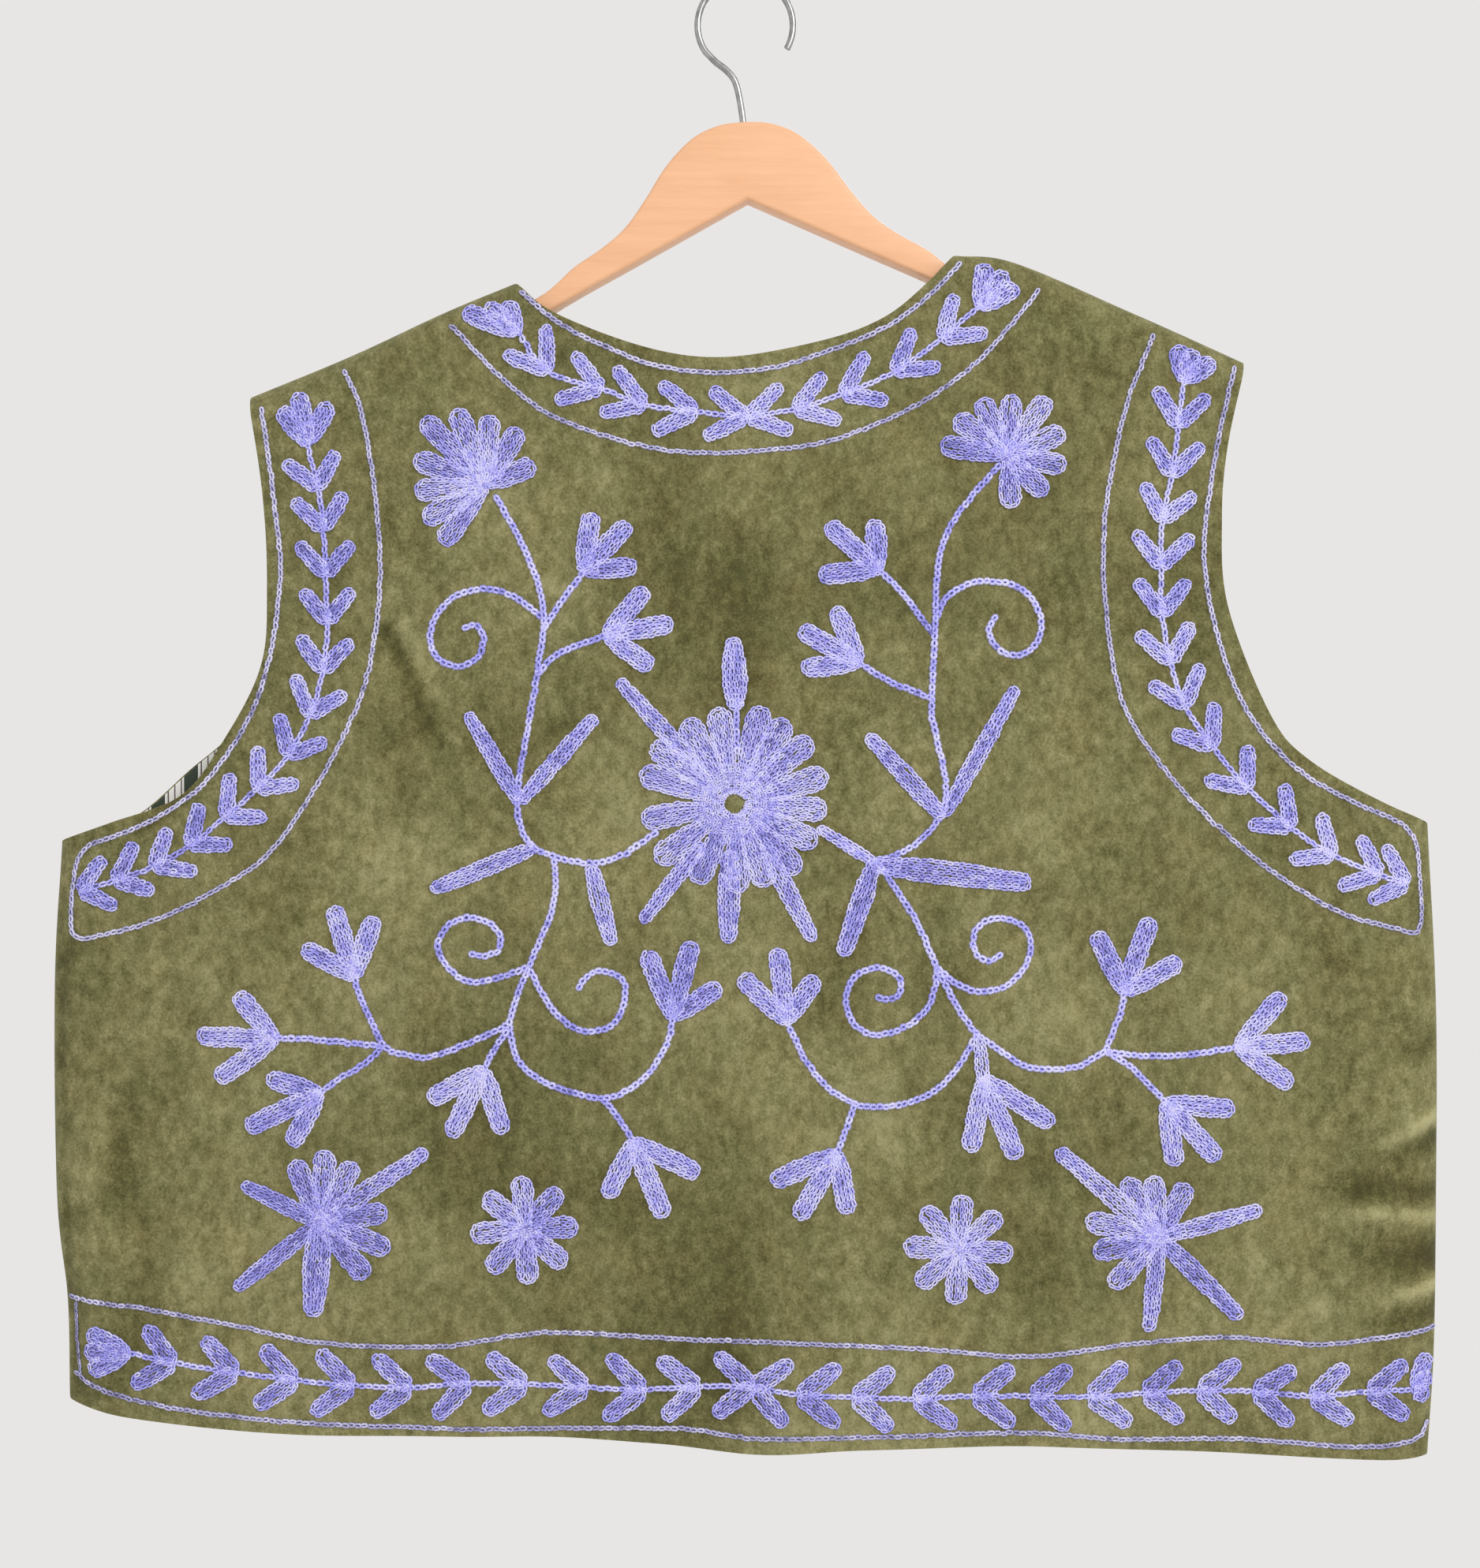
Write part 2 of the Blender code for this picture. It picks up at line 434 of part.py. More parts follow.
class Panel:
    """A cut piece of cloth: four edges, and how it turns towards its seams and folds as it hangs."""

    def __init__(self, facing, left, right, hem, top, seams, folds, columns, rows):
        self.facing = facing
        self.folds = folds
        middle = self.blend(0.5, 0.5, left, right, hem, top)
        self.seams = [(path, turn, inward(path, middle)) for path, turn in seams]
        self.flat = [[self.blend(u, v, left, right, hem, top) for u in columns] for v in rows]

    @staticmethod
    def blend(u, v, left, right, hem, top):
        """The point of a surface stretched between four edges."""
        across = (1 - u) * along(left, v) + u * along(right, v)
        upward = (1 - v) * along(hem, u) + v * along(top, u)
        low = (1 - u) * along(hem, 0) + u * along(hem, 1)
        high = (1 - u) * along(top, 0) + u * along(top, 1)
        return across + upward - (1 - v) * low - v * high

    def nearest_seam(self, point):
        """How far round its turn a point is, 0 at a seam and 1 on the flat, with the way in from it."""
        best = (1.0, Vector((0, 0)), 1.0)
        for path, turn, crossings in self.seams:
            for number, (start, stop) in enumerate(zip(path, path[1:])):
                run = stop - start
                t = min(max((point - start).dot(run) / run.length_squared, 0), 1)
                offset = point - start - t * run
                if offset.length / turn < best[0]:
                    way = offset.normalized() if offset.length > AT_SEAM else crossings[number + round(t)]
                    best = (offset.length / turn, way, turn)
        return best

    def swell(self, point):
        """Half-depth of the hanging cloth at a point of the flat, with its folds."""
        depth = HALF_DEPTH
        for row in self.folds:
            fold = dict(zip(FOLD_COLUMNS, row))
            start, stop = Vector((fold["from_x"], fold["from_z"])), Vector((fold["to_x"], fold["to_z"]))
            run = stop - start
            t = min(max((point - start).dot(run) / run.length_squared, 0), 1)
            away = (point - start - t * run).length / fold["width"]
            depth += fold["height"] * math.exp(-away ** 2) * t * t * (3 - 2 * t)
        return depth

    def place(self, point, depth_in):
        """The point in space, this far in from the face of the cloth."""
        share, way, turn = self.nearest_seam(point)
        depth = self.swell(point)
        rise = 1 - share
        level = math.sqrt(max(0.0, 1 - rise * rise))
        slope = math.hypot(rise / turn, level / depth)
        shift = way * depth_in * (rise / turn / slope)
        y = SEAM_GAP / 2 + (depth - SEAM_GAP / 2) * level - depth_in * (level / depth / slope)
        return Vector((point.x + shift.x, self.facing * y, point.y + shift.y))

    def layer(self, depth_in):
        return [[self.place(point, depth_in) for point in row] for row in self.flat]


def stepped(low, high, steps):
    return [low + (high - low) * number / steps for number in range(steps)]


def turned(size, turn):
    """Shares of this size, close together where the cloth turns towards a seam at its start."""
    return [turn * (1 - math.cos(math.radians(angle))) / size for angle in TURN_ANGLES]


def cloth_wall(name, panel, outer_depth, inner_depth, material):
    """The closed wall between two depths of a panel, and the mesh of its outer side."""
    shape = bmesh.new()
    outer, inner = panel.layer(outer_depth), panel.layer(inner_depth)
    rows, columns = len(outer), len(outer[0])
    if panel.facing > 0:
        outer, inner = inner, outer
    front = [[shape.verts.new(point) for point in row] for row in outer]
    back = [[shape.verts.new(point) for point in row] for row in inner]
    for i in range(rows - 1):
        for j in range(columns - 1):
            for grid, order in ((front, (0, 1, 3, 2)), (back, (2, 3, 1, 0))):
                cell = [grid[i][j], grid[i][j + 1], grid[i + 1][j], grid[i + 1][j + 1]]
                a, b, c, d = (cell[number] for number in order)
                if order[0] == 0:
                    shape.faces.new((a, b, c))
                    shape.faces.new((a, c, d))
                else:
                    shape.faces.new((d, a, b))
                    shape.faces.new((d, b, c))
    rim = [(0, j) for j in range(columns)] + [(i, columns - 1) for i in range(1, rows)]
    rim += [(rows - 1, j) for j in range(columns - 2, -1, -1)] + [(i, 0) for i in range(rows - 2, 0, -1)]
    for (i, j), (k, m) in zip(rim, rim[1:] + rim[:1]):
        shape.faces.new((front[k][m], front[i][j], back[i][j]))
        shape.faces.new((front[k][m], back[i][j], back[k][m]))
    return add_object(name, shape, material, smooth_under=CLOTH_SMOOTH_UNDER)


def curve(points):
    return smooth_path(points, EDGE_STEPS)


def make_panels(velvet, lining):
    """The back and two fronts in velvet, each with its lining. Returns the back's panel."""
    side_left, side_right = curve(LEFT_SIDE), curve(RIGHT_SIDE)
    shoulder_left, shoulder_right = curve(LEFT_SHOULDER), curve(RIGHT_SHOULDER)
    sides = turned(RIGHT_SIDE[0][0] - LEFT_SIDE[0][0], SIDE_TURN)
    side_end = SIDE_TURN / (RIGHT_SIDE[0][0] - LEFT_SIDE[0][0])
    shoulders = turned(LEFT_SHOULDER[-1][1] - LEFT_SIDE[0][1], SHOULDER_TURN)
    shoulder_end = 1 - SHOULDER_TURN / (LEFT_SHOULDER[-1][1] - LEFT_SIDE[0][1])
    rows = stepped(0, UNDERARM, BODY_ROWS) + stepped(UNDERARM, shoulder_end, YOKE_ROWS) + [shoulder_end]
    rows += [1 - share for share in reversed(shoulders)]
    half = sides + stepped(side_end, NECK_POINT, SHOULDER_COLUMNS)
    half += stepped(NECK_POINT, NECK_CORNER, CORNER_COLUMNS) + stepped(NECK_CORNER, 0.5, NECK_COLUMNS)
    back = Panel(
        -1,
        [(UNDERARM, side_left), (1, curve(BACK_LEFT_ARMHOLE))],
        [(UNDERARM, side_right), (1, curve(BACK_RIGHT_ARMHOLE))],
        [(1, curve(BACK_HEM))],
        [(NECK_POINT, shoulder_left), (1 - NECK_POINT, curve(BACK_NECK)), (1, shoulder_right[::-1])],
        [(side_left, SIDE_TURN), (side_right, SIDE_TURN), (shoulder_left, SHOULDER_TURN),
         (shoulder_right, SHOULDER_TURN)],
        BACK_FOLDS, half + [0.5] + [1 - share for share in reversed(half)], rows)
    across = [2 * share for share in sides] + stepped(2 * side_end, 1, FRONT_COLUMNS) + [1]
    front_left = Panel(
        1,
        [(UNDERARM, side_left), (1, curve(FRONT_LEFT_ARMHOLE))],
        [(1, curve(LEFT_FRONT_EDGE))],
        [(1, curve(FRONT_LEFT_HEM))],
        [(1, shoulder_left)],
        [(side_left, SIDE_TURN), (shoulder_left, SHOULDER_TURN)],
        FRONT_FOLDS, across, rows)
    front_right = Panel(
        1,
        [(1, curve(RIGHT_FRONT_EDGE))],
        [(UNDERARM, side_right), (1, curve(FRONT_RIGHT_ARMHOLE))],
        [(1, curve(FRONT_RIGHT_HEM)[::-1])],
        [(1, shoulder_right[::-1])],
        [(side_right, SIDE_TURN), (shoulder_right, SHOULDER_TURN)],
        FRONT_FOLDS, [1 - share for share in reversed(across)], rows)
    lining_face = VELVET_WALL + LINING_GAP
    for name, panel in (("back", back), ("front_left", front_left), ("front_right", front_right)):
        cloth_wall(name, panel, 0.0, VELVET_WALL, velvet)
        cloth_wall("lining_" + name, panel, lining_face, lining_face + LINING_WALL, lining)
    return back


# ---------------------------------------------------------------- embroidery


def chart(point):
    """A chart point in stitches, as (across, up) in millimetres."""
    return Vector((point[0] * STITCH, CHART_TOP - point[1] * STITCH))


def lobe(base, tip, width):
    """A leaf or petal: narrow at its base, fullest near a round tip."""
    start, stop, full = chart(base), chart(tip), width * STITCH / 2
    way = (stop - start).normalized()
    across = Vector((-way.y, way.x))
    length = (stop - start).length
    ring = [(0, LOBE_BASE), (length - full, 1.0), (length - LOBE_TIP_RUN * full, LOBE_TIP_WIDTH)]
    right = [start + way * run - across * full * share for run, share in ring]
    left = [start + way * run + across * full * share for run, share in reversed(ring)]
    return right + [stop] + left


def pointed_leaf(base, tip, width):
    """A leaf that is widest nearer its base and narrows to a small round tip."""
    start, stop, full = chart(base), chart(tip), width * STITCH / 2
    way = (stop - start).normalized()
    across = Vector((-way.y, way.x))
    length = (stop - start).length
    ring = [(0, LEAF_BASE), (LEAF_FULL_AT * length, 1.0), (length - LEAF_TIP * full, LEAF_TIP)]
    right = [start + way * run - across * full * share for run, share in ring]
    left = [start + way * run + across * full * share for run, share in reversed(ring)]
    return right + [stop] + left


def row_of_chain(points, steps, width=ROW):
    """A row of chain as a strip of four-sided cells."""
    path = smooth_path([chart(point) for point in points], steps)
    half = width * STITCH / 2
    sides = []
    for number, point in enumerate(path):
        run = (path[min(number + 1, len(path) - 1)] - path[max(number - 1, 0)]).normalized()
        across = Vector((-run.y, run.x)) * half
        sides.append((point + across, point - across))
    return [[b, c, d, a] for (a, b), (d, c) in zip(sides, sides[1:])]


def petal_tip(hub, angle, length):
    turn = math.radians(angle)
    return (hub[0] + length * math.cos(turn), hub[1] - length * math.sin(turn))


def motif_cells(motif):
    """Every cell of a free motif, overlapping where the motif's parts join."""
    cells = []
    for stem in motif["stems"]:
        cells += row_of_chain(stem, 1)
    for base, tip, width in motif["leaves"]:
        cells.append(pointed_leaf(base, tip, width))
    for base, tips in motif["buds"]:
        cells += [lobe(base, tip, BUD_WIDTH) for tip in tips]
    for hub, petals in motif["flowers"]:
        for angle, length in petals:
            base, tip = petal_tip(hub, angle, CENTRE_EYE), petal_tip(hub, angle, length)
            cells.append(lobe(base, tip, CENTRE_PETAL_WIDTH if hub == CENTRE_HUB else PETAL_WIDTH))
        if hub != CENTRE_HUB:
            cells.append([chart(petal_tip(hub, angle, FLOWER_LIFT)) for angle in range(0, 360, HUB_CORNER)])
    return cells


def vine_cells(vine):
    """Every cell of a border vine: the stem, a pair of leaves at each foot, and the tulips."""
    cells = []
    for run in vine["runs"]:
        cells += row_of_chain(run, 1)
        for before, foot in zip(run, run[1:]):
            back = math.degrees(math.atan2(foot[1] - before[1], before[0] - foot[0]))
            for turn in (-vine["spread"], vine["spread"]):
                cells.append(lobe(foot, petal_tip(foot, back + turn, vine["reach"]), LEAF_WIDTH))
    for base, tips in vine["tulips"]:
        cells += [lobe(base, tip, BUD_WIDTH) for tip in tips]
    return cells


def inside(point, cells):
    """Whether a point lies in one of the convex cells."""
    for cell in cells:
        for second, third in zip(cell[1:], cell[2:]):
            if intersect_point_tri_2d(point, cell[0], second, third):
                return True
    return False


def outline_of(cells):
    """The corners and boundary edges of the cells' union."""
    corners, faces = [], []
    for cell in cells:
        faces.append(list(range(len(corners), len(corners) + len(cell))))
        corners += cell
    points, _, triangles, _, _, owners = delaunay_2d_cdt(corners, [], faces, 0, SAME_POINT)
    counts = {}
    for triangle, owner in zip(triangles, owners):
        if owner:
            for a, b in zip(triangle, triangle[1:] + triangle[:1]):
                counts[frozenset((a, b))] = counts.get(frozenset((a, b)), 0) + 1
    return points, [tuple(edge) for edge, count in counts.items() if count == 1]


class Ground:
    """The face of the back, as the embroidery meets it."""

    def __init__(self, panel):
        layer = panel.layer(0.0)
        shape = bmesh.new()
        grid = [[shape.verts.new(point) for point in row] for row in layer]
        for low, high in zip(grid, grid[1:]):
            for a, b, c, d in zip(low, low[1:], high[1:], high):
                shape.faces.new((a, b, c))
                shape.faces.new((a, c, d))
        shape.normal_update()
        self.tree = BVHTree.FromBMesh(shape)
        self.sharp = [
            tuple(Vector((end.co.x, end.co.z)) for end in edge.verts)
            for edge in shape.edges
            if len(edge.link_faces) == 2 and edge.calc_face_angle() > SHARP_FOLD
        ]
        shape.free()

    def depth(self, point):
        """How far towards the viewer the cloth stands at this place."""
        hit = self.tree.ray_cast(Vector((point.x, -10 * HALF_DEPTH, point.y)), Vector((0, 1, 0)))[0]
        return hit.y


def embroidered_plate(name, cells, ground, wool):
    """One raised body of stitching, made from the cloth's own face and moved out."""
    points, rim = outline_of(cells)
    used = sorted({end for edge in rim for end in edge})
    renumbered = {old: new for new, old in enumerate(used)}
    corners = [points[old] for old in used]
    edges = [(renumbered[a], renumbered[b]) for a, b in rim]
    low = Vector((min(corner.x for corner in corners), min(corner.y for corner in corners)))
    high = Vector((max(corner.x for corner in corners), max(corner.y for corner in corners)))
    for start, stop in ground.sharp:
        if all(max(start[k], stop[k]) > low[k] and min(start[k], stop[k]) < high[k] for k in (0, 1)):
            edges.append((len(corners), len(corners) + 1))
            corners += [start, stop]
    points, _, triangles, _, _, _ = delaunay_2d_cdt(corners, edges, [], 0, SAME_POINT)
    kept = []
    for a, b, c in triangles:
        if inside((points[a] + points[b] + points[c]) / 3, cells):
            kept.append((a, b, c))
    shape = bmesh.new()
    under, over = {}, {}
    for number in {corner for triangle in kept for corner in triangle}:
        point = points[number]
        y = ground.depth(point) - WOOL_CLEARANCE
        under[number] = shape.verts.new((point.x, y, point.y))
        over[number] = shape.verts.new((point.x, y - WOOL_HEIGHT, point.y))
    neighbours = {(a, b) for triangle in kept for a, b in zip(triangle, triangle[1:] + triangle[:1])}
    for a, b, c in kept:
        shape.faces.new((over[a], over[b], over[c]))
        shape.faces.new((under[c], under[b], under[a]))
    for a, b in neighbours:
        if (b, a) not in neighbours:
            shape.faces.new((under[a], under[b], over[b]))
            shape.faces.new((under[a], over[b], over[a]))
    add_object(name, shape, wool)


def make_embroidery(back, wool):
    ground = Ground(back)
    for name, points in RULED_LINES.items():
        embroidered_plate(name, row_of_chain(points, 2), ground, wool)
    for name, vine in BORDER_VINES.items():
        embroidered_plate(name, vine_cells(vine), ground, wool)
    for name, motif in FREE_MOTIFS.items():
        embroidered_plate(name, motif_cells(motif), ground, wool)


# ---------------------------------------------------------------- hanger


def make_hanger(wood, steel):
    """A board cut to the hanger's outline with rounded edges, and a bent wire hook let into its top."""
    arm = HANGER_TOP + HANGER_TIP + HANGER_UNDERSIDE
    mirrored = [(-across, up) for across, up in reversed(arm[1:-1])]
    tilt = math.radians(HANGER_TILT)
    top = Vector((HANGER_MIDDLE, HANGER_TOP[0][1]))
    shape = bmesh.new()
    ring = []
    for across, up in arm + mirrored:
        up -= top.y
        x = top.x + across * math.cos(tilt) - up * math.sin(tilt)
        z = top.y + across * math.sin(tilt) + up * math.cos(tilt)
        ring.append(shape.verts.new((x, -HANGER_THICK / 2, z)))
    face = shape.faces.new(ring)
    pushed = bmesh.ops.extrude_face_region(shape, geom=[face])
    moved = [item for item in pushed["geom"] if isinstance(item, bmesh.types.BMVert)]
    bmesh.ops.translate(shape, verts=moved, vec=(0, HANGER_THICK, 0))
    bmesh.ops.recalc_face_normals(shape, faces=shape.faces)
    rims = [edge for edge in shape.edges if abs(edge.verts[0].co.y - edge.verts[1].co.y) < 0.1]
    bmesh.ops.bevel(shape, geom=rims, offset=HANGER_ROUNDING, offset_type="OFFSET", segments=2, profile=0.5,
                    affect="EDGES", clamp_overlap=True, material=-1)
    body = add_object("hanger_body", shape, wood, smooth_under=WOOD_SMOOTH_UNDER)

    drill = bmesh.new()
    bmesh.ops.create_cone(drill, cap_ends=True, segments=DRILL_SIDES, radius1=WIRE / 2 + SEAM_GAP,
                          radius2=WIRE / 2 + SEAM_GAP, depth=2 * (STEM_DEPTH + SEAM_GAP))
    bmesh.ops.translate(drill, verts=drill.verts, vec=(STEM_POINTS[0][0], 0, STEM_POINTS[0][1]))
    cutter = add_object("stem_hole", drill, wood)
    cutter.hide_render = True
    cutter.display_type = "WIRE"
    hole = body.modifiers.new("stem_hole", "BOOLEAN")
    hole.operation = "DIFFERENCE"
    hole.object = cutter

    centre = WIRE / 2 - HOOK_RADIUS
    bend = [(STEM_POINTS[0][0], STEM_POINTS[0][1] - STEM_DEPTH)] + STEM_POINTS
    for angle in range(HOOK_START_ANGLE, HOOK_END_ANGLE - 1, -HOOK_STEP):
        turn = math.radians(angle)
        bend.append((HOOK_RADIUS * math.cos(turn), centre + HOOK_RADIUS * math.sin(turn)))
    wire = bpy.data.curves.new("hanger_hook", "CURVE")
    wire.dimensions = "3D"
    wire.bevel_depth = WIRE / 2 * MM
    wire.bevel_resolution = 2
    wire.use_fill_caps = True
    spline = wire.splines.new("POLY")
    spline.points.add(len(bend) - 1)
    for point, (across, up) in zip(spline.points, bend):
        point.co = (across * MM, 0, up * MM, 1)
    wire.materials.append(steel)
    hook = bpy.data.objects.new("hanger_hook", wire)
    bpy.context.scene.collection.objects.link(hook)
    hook.parent = body


def main():
    clear_scene()
    velvet = make_material("velvet", (0.205, 0.195, 0.075), 0.85)
    lining = make_material("lining", (0.30, 0.33, 0.26), 0.8)
    wool = make_material("wool", (0.42, 0.37, 0.80), 0.9)
    wood = make_material("wood", (0.84, 0.55, 0.30), 0.45)
    steel = make_material("steel", (0.62, 0.62, 0.60), 0.3, 1.0)
    back = make_panels(velvet, lining)
    make_embroidery(back, wool)
    make_hanger(wood, steel)


main()
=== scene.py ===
import math

import bmesh
import bpy
import numpy as np
from mathutils import Matrix, Vector


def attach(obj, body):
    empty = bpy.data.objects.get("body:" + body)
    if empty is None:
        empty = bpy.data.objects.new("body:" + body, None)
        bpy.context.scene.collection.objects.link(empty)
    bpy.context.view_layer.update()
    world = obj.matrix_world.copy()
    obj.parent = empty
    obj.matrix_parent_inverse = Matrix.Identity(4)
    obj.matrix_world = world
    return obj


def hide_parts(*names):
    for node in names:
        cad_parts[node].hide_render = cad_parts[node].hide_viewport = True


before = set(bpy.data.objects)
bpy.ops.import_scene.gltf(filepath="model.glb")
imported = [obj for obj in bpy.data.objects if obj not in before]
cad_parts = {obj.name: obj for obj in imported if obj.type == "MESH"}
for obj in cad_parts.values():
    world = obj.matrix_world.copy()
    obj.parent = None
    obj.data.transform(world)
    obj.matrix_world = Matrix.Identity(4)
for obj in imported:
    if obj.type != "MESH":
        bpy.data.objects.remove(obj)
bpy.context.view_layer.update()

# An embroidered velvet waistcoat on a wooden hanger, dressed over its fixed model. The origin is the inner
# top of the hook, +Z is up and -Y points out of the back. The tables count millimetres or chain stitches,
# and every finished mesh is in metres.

# ---------------------------------------------------------------- studio
# A pale floor far below the hanging garment, soft light from all round with one large lamp high on the
# right, and a camera square to the garment's back.

MM = 0.001
SENSOR = 36.0
CAMERA_PLACE = (-2.5, -981.5, -370.8)
FRAME_HEIGHT = 716.0
FRAME_DISTANCE = 970.0
SIGHT_LIMIT = 30.0
ROOM_COLOUR = (0.94, 0.92, 0.91, 1.0)
ROOM_LIGHT = 0.86
GARMENT_MIDDLE = (0, 0, -0.42)
# Square soft lamps that face the garment, as name, place in metres, size, power and colour.
LAMPS = [
    ("key_lamp", (1.15, -1.7, 0.75), 0.7, 27.0, (1.0, 0.985, 0.96)),
    ("side_lamp", (-1.9, -1.3, -0.1), 1.4, 4.0, (0.96, 0.98, 1.0)),
    ("back_lamp", (0.6, 1.9, 0.6), 1.2, 14.0, (1.0, 1.0, 1.0)),
]
FLOOR_LEVEL = -1.25
FLOOR_REACH = 1.3
FLOOR_TINTS = [(0.3, (0.80, 0.79, 0.77)), (0.7, (0.84, 0.83, 0.81))]

scene = bpy.context.scene
scene.view_settings.view_transform = "Standard"
lens = bpy.data.cameras.new("camera")
lens.sensor_width = SENSOR
lens.lens = SENSOR * FRAME_DISTANCE / FRAME_HEIGHT
lens.clip_end = SIGHT_LIMIT
camera = bpy.data.objects.new("camera", lens)
camera.location = Vector(CAMERA_PLACE) * MM
camera.rotation_euler = (math.radians(90), 0, 0)
scene.collection.objects.link(camera)
scene.camera = camera

world = bpy.data.worlds.new("studio")
world.use_nodes = True
room = world.node_tree.nodes["Background"]
room.inputs["Color"].default_value = ROOM_COLOUR
room.inputs["Strength"].default_value = ROOM_LIGHT
scene.world = world

for name, place, size, power, colour in LAMPS:
    light = bpy.data.lights.new(name, "AREA")
    light.shape = "SQUARE"
    light.size = size
    light.energy = power
    light.color = colour
    lamp = bpy.data.objects.new(name, light)
    lamp.location = place
    lamp.rotation_euler = (Vector(GARMENT_MIDDLE) - Vector(place)).to_track_quat("-Z", "Y").to_euler()
    scene.collection.objects.link(lamp)


def new_material(name, roughness, **sockets):
    """A Principled material with plain values on its sockets, and its shader and node tree."""
    material = bpy.data.materials.new(name)
    material.use_nodes = True
    tree = material.node_tree
    shader = tree.nodes["Principled BSDF"]
    shader.inputs["Roughness"].default_value = roughness
    for socket, value in sockets.items():
        shader.inputs[socket.replace("_", " ")].default_value = value
    return material, tree, shader


def noise_on(tree, coordinates, scale, detail, roughness=0.5):
    """A noise texture read on these coordinates."""
    noise = tree.nodes.new("ShaderNodeTexNoise")
    noise.inputs["Scale"].default_value = scale
    noise.inputs["Detail"].default_value = detail
    noise.inputs["Roughness"].default_value = roughness
    tree.links.new(coordinates, noise.inputs["Vector"])
    return noise.outputs["Fac"]


def object_coordinates(tree, stretch=(1, 1, 1), turn=(0, 0, 0)):
    """Object coordinates, turned and scaled by a Mapping node."""
    coordinates = tree.nodes.new("ShaderNodeTexCoord")
    mapping = tree.nodes.new("ShaderNodeMapping")
    mapping.inputs["Rotation"].default_value = turn
    mapping.inputs["Scale"].default_value = stretch
    tree.links.new(coordinates.outputs["Object"], mapping.inputs["Vector"])
    return mapping.outputs["Vector"]


def ramp_of(tree, factor, stops, interpolation="LINEAR"):
    """A colour ramp with stops as (position, colour)."""
    ramp = tree.nodes.new("ShaderNodeValToRGB")
    ramp.color_ramp.interpolation = interpolation
    elements = ramp.color_ramp.elements
    while len(elements) < len(stops):
        elements.new(0.5)
    for element, (position, colour) in zip(elements, stops):
        element.position = position
        element.color = (*colour, 1.0)
    tree.links.new(factor, ramp.inputs["Fac"])
    return ramp.outputs["Color"]


def paint_with(tree, shader, factor, stops, interpolation="LINEAR"):
    """A factor to the shader's colour, by a ramp."""
    tree.links.new(ramp_of(tree, factor, stops, interpolation), shader.inputs["Base Color"])


floor_shape = bmesh.new()
bmesh.ops.create_grid(floor_shape, x_segments=1, y_segments=1, size=FLOOR_REACH)
bmesh.ops.translate(floor_shape, verts=floor_shape.verts, vec=(0, 0, FLOOR_LEVEL))
floor_mesh = bpy.data.meshes.new("floor")
floor_shape.to_mesh(floor_mesh)
floor_shape.free()
floor = bpy.data.objects.new("floor", floor_mesh)
scene.collection.objects.link(floor)
floor_paint, floor_tree, floor_shader = new_material("floor_paint", 0.8)
paint_with(floor_tree, floor_shader, noise_on(floor_tree, object_coordinates(floor_tree), 3.0, 4.0),
           FLOOR_TINTS)
floor_mesh.materials.append(floor_paint)

# ---------------------------------------------------------------- hanger board
# A flat beech coat hanger, sawn from one board to a hump and two sloping arms, its edges rounded over and
# lacquered. It carries the garment inside its shoulders.

HANGER_TILT = 2.8
HANGER_MIDDLE = -0.7
HANGER_THICK = 12.0
HANGER_TOP = [(0, -66.2), (11, -67.2), (22, -71.4), (31, -78.6), (39, -87.7), (47, -99.5), (57, -112.2),
              (68, -121), (81, -129), (90, -136.6), (98, -142), (120, -152.5), (145, -163), (172, -175),
              (200, -187.5)]
HANGER_TIP = [(205, -191.5), (206, -196), (202, -200.5)]
HANGER_UNDERSIDE = [(172, -189), (145, -177), (120, -165), (87, -145.7), (51, -127.6), (0, -102.2)]
HANGER_ROUNDING = 2.5
ROUNDING_SEGMENTS = 5
HANGER_CURVE_STEPS = 5
SHARP_ANGLE = math.radians(35)
GRAIN_STRETCH = (14.0, 120.0, 190.0)
FLECK_STRETCH = (90.0, 300.0, 1300.0)
BEECH_TINTS = [(0.30, (0.70, 0.375, 0.200)), (0.50, (0.75, 0.415, 0.230)), (0.72, (0.79, 0.450, 0.258))]
GRAIN_DEPTH = 0.00008


def spline_through(points, steps):
    """A Catmull-Rom curve through the points, with this many steps between each two, as an array."""
    ends = np.array(points, float)
    ends = np.vstack([2 * ends[:1] - ends[1:2], ends, 2 * ends[-1:] - ends[-2:-1]])
    t = (np.arange(steps) / steps)[:, None]
    path = []
    for before, start, stop, after in zip(ends, ends[1:], ends[2:], ends[3:]):
        path.append(0.5 * (2 * start + (stop - before) * t
                           + (2 * before - 5 * start + 4 * stop - after) * t ** 2
                           + (3 * start - before - 3 * stop + after) * t ** 3))
    path.append(ends[-2:-1])
    return np.vstack(path)


def math_of(tree, operation, first, second):
    """A Math node on two inputs, each a link or a number."""
    node = tree.nodes.new("ShaderNodeMath")
    node.operation = operation
    for socket, value in zip(node.inputs, (first, second)):
        if isinstance(value, (int, float)):
            socket.default_value = value
        else:
            tree.links.new(value, socket)
    return node.outputs["Value"]


def bump_from(tree, shader, height, distance, strength=1.0):
    """Height to the shader's normal, with its full range this many metres deep."""
    bump = tree.nodes.new("ShaderNodeBump")
    bump.inputs["Distance"].default_value = distance
    bump.inputs["Strength"].default_value = strength
    tree.links.new(height, bump.inputs["Height"])
    tree.links.new(bump.outputs["Normal"], shader.inputs["Normal"])


def sum_of(tree, *layers):
    """The sum of these layers, each a link with its weight."""
    parts = [math_of(tree, "MULTIPLY", layer, weight) for layer, weight in layers]
    total = parts[0]
    for part in parts[1:]:
        total = math_of(tree, "ADD", total, part)
    return total


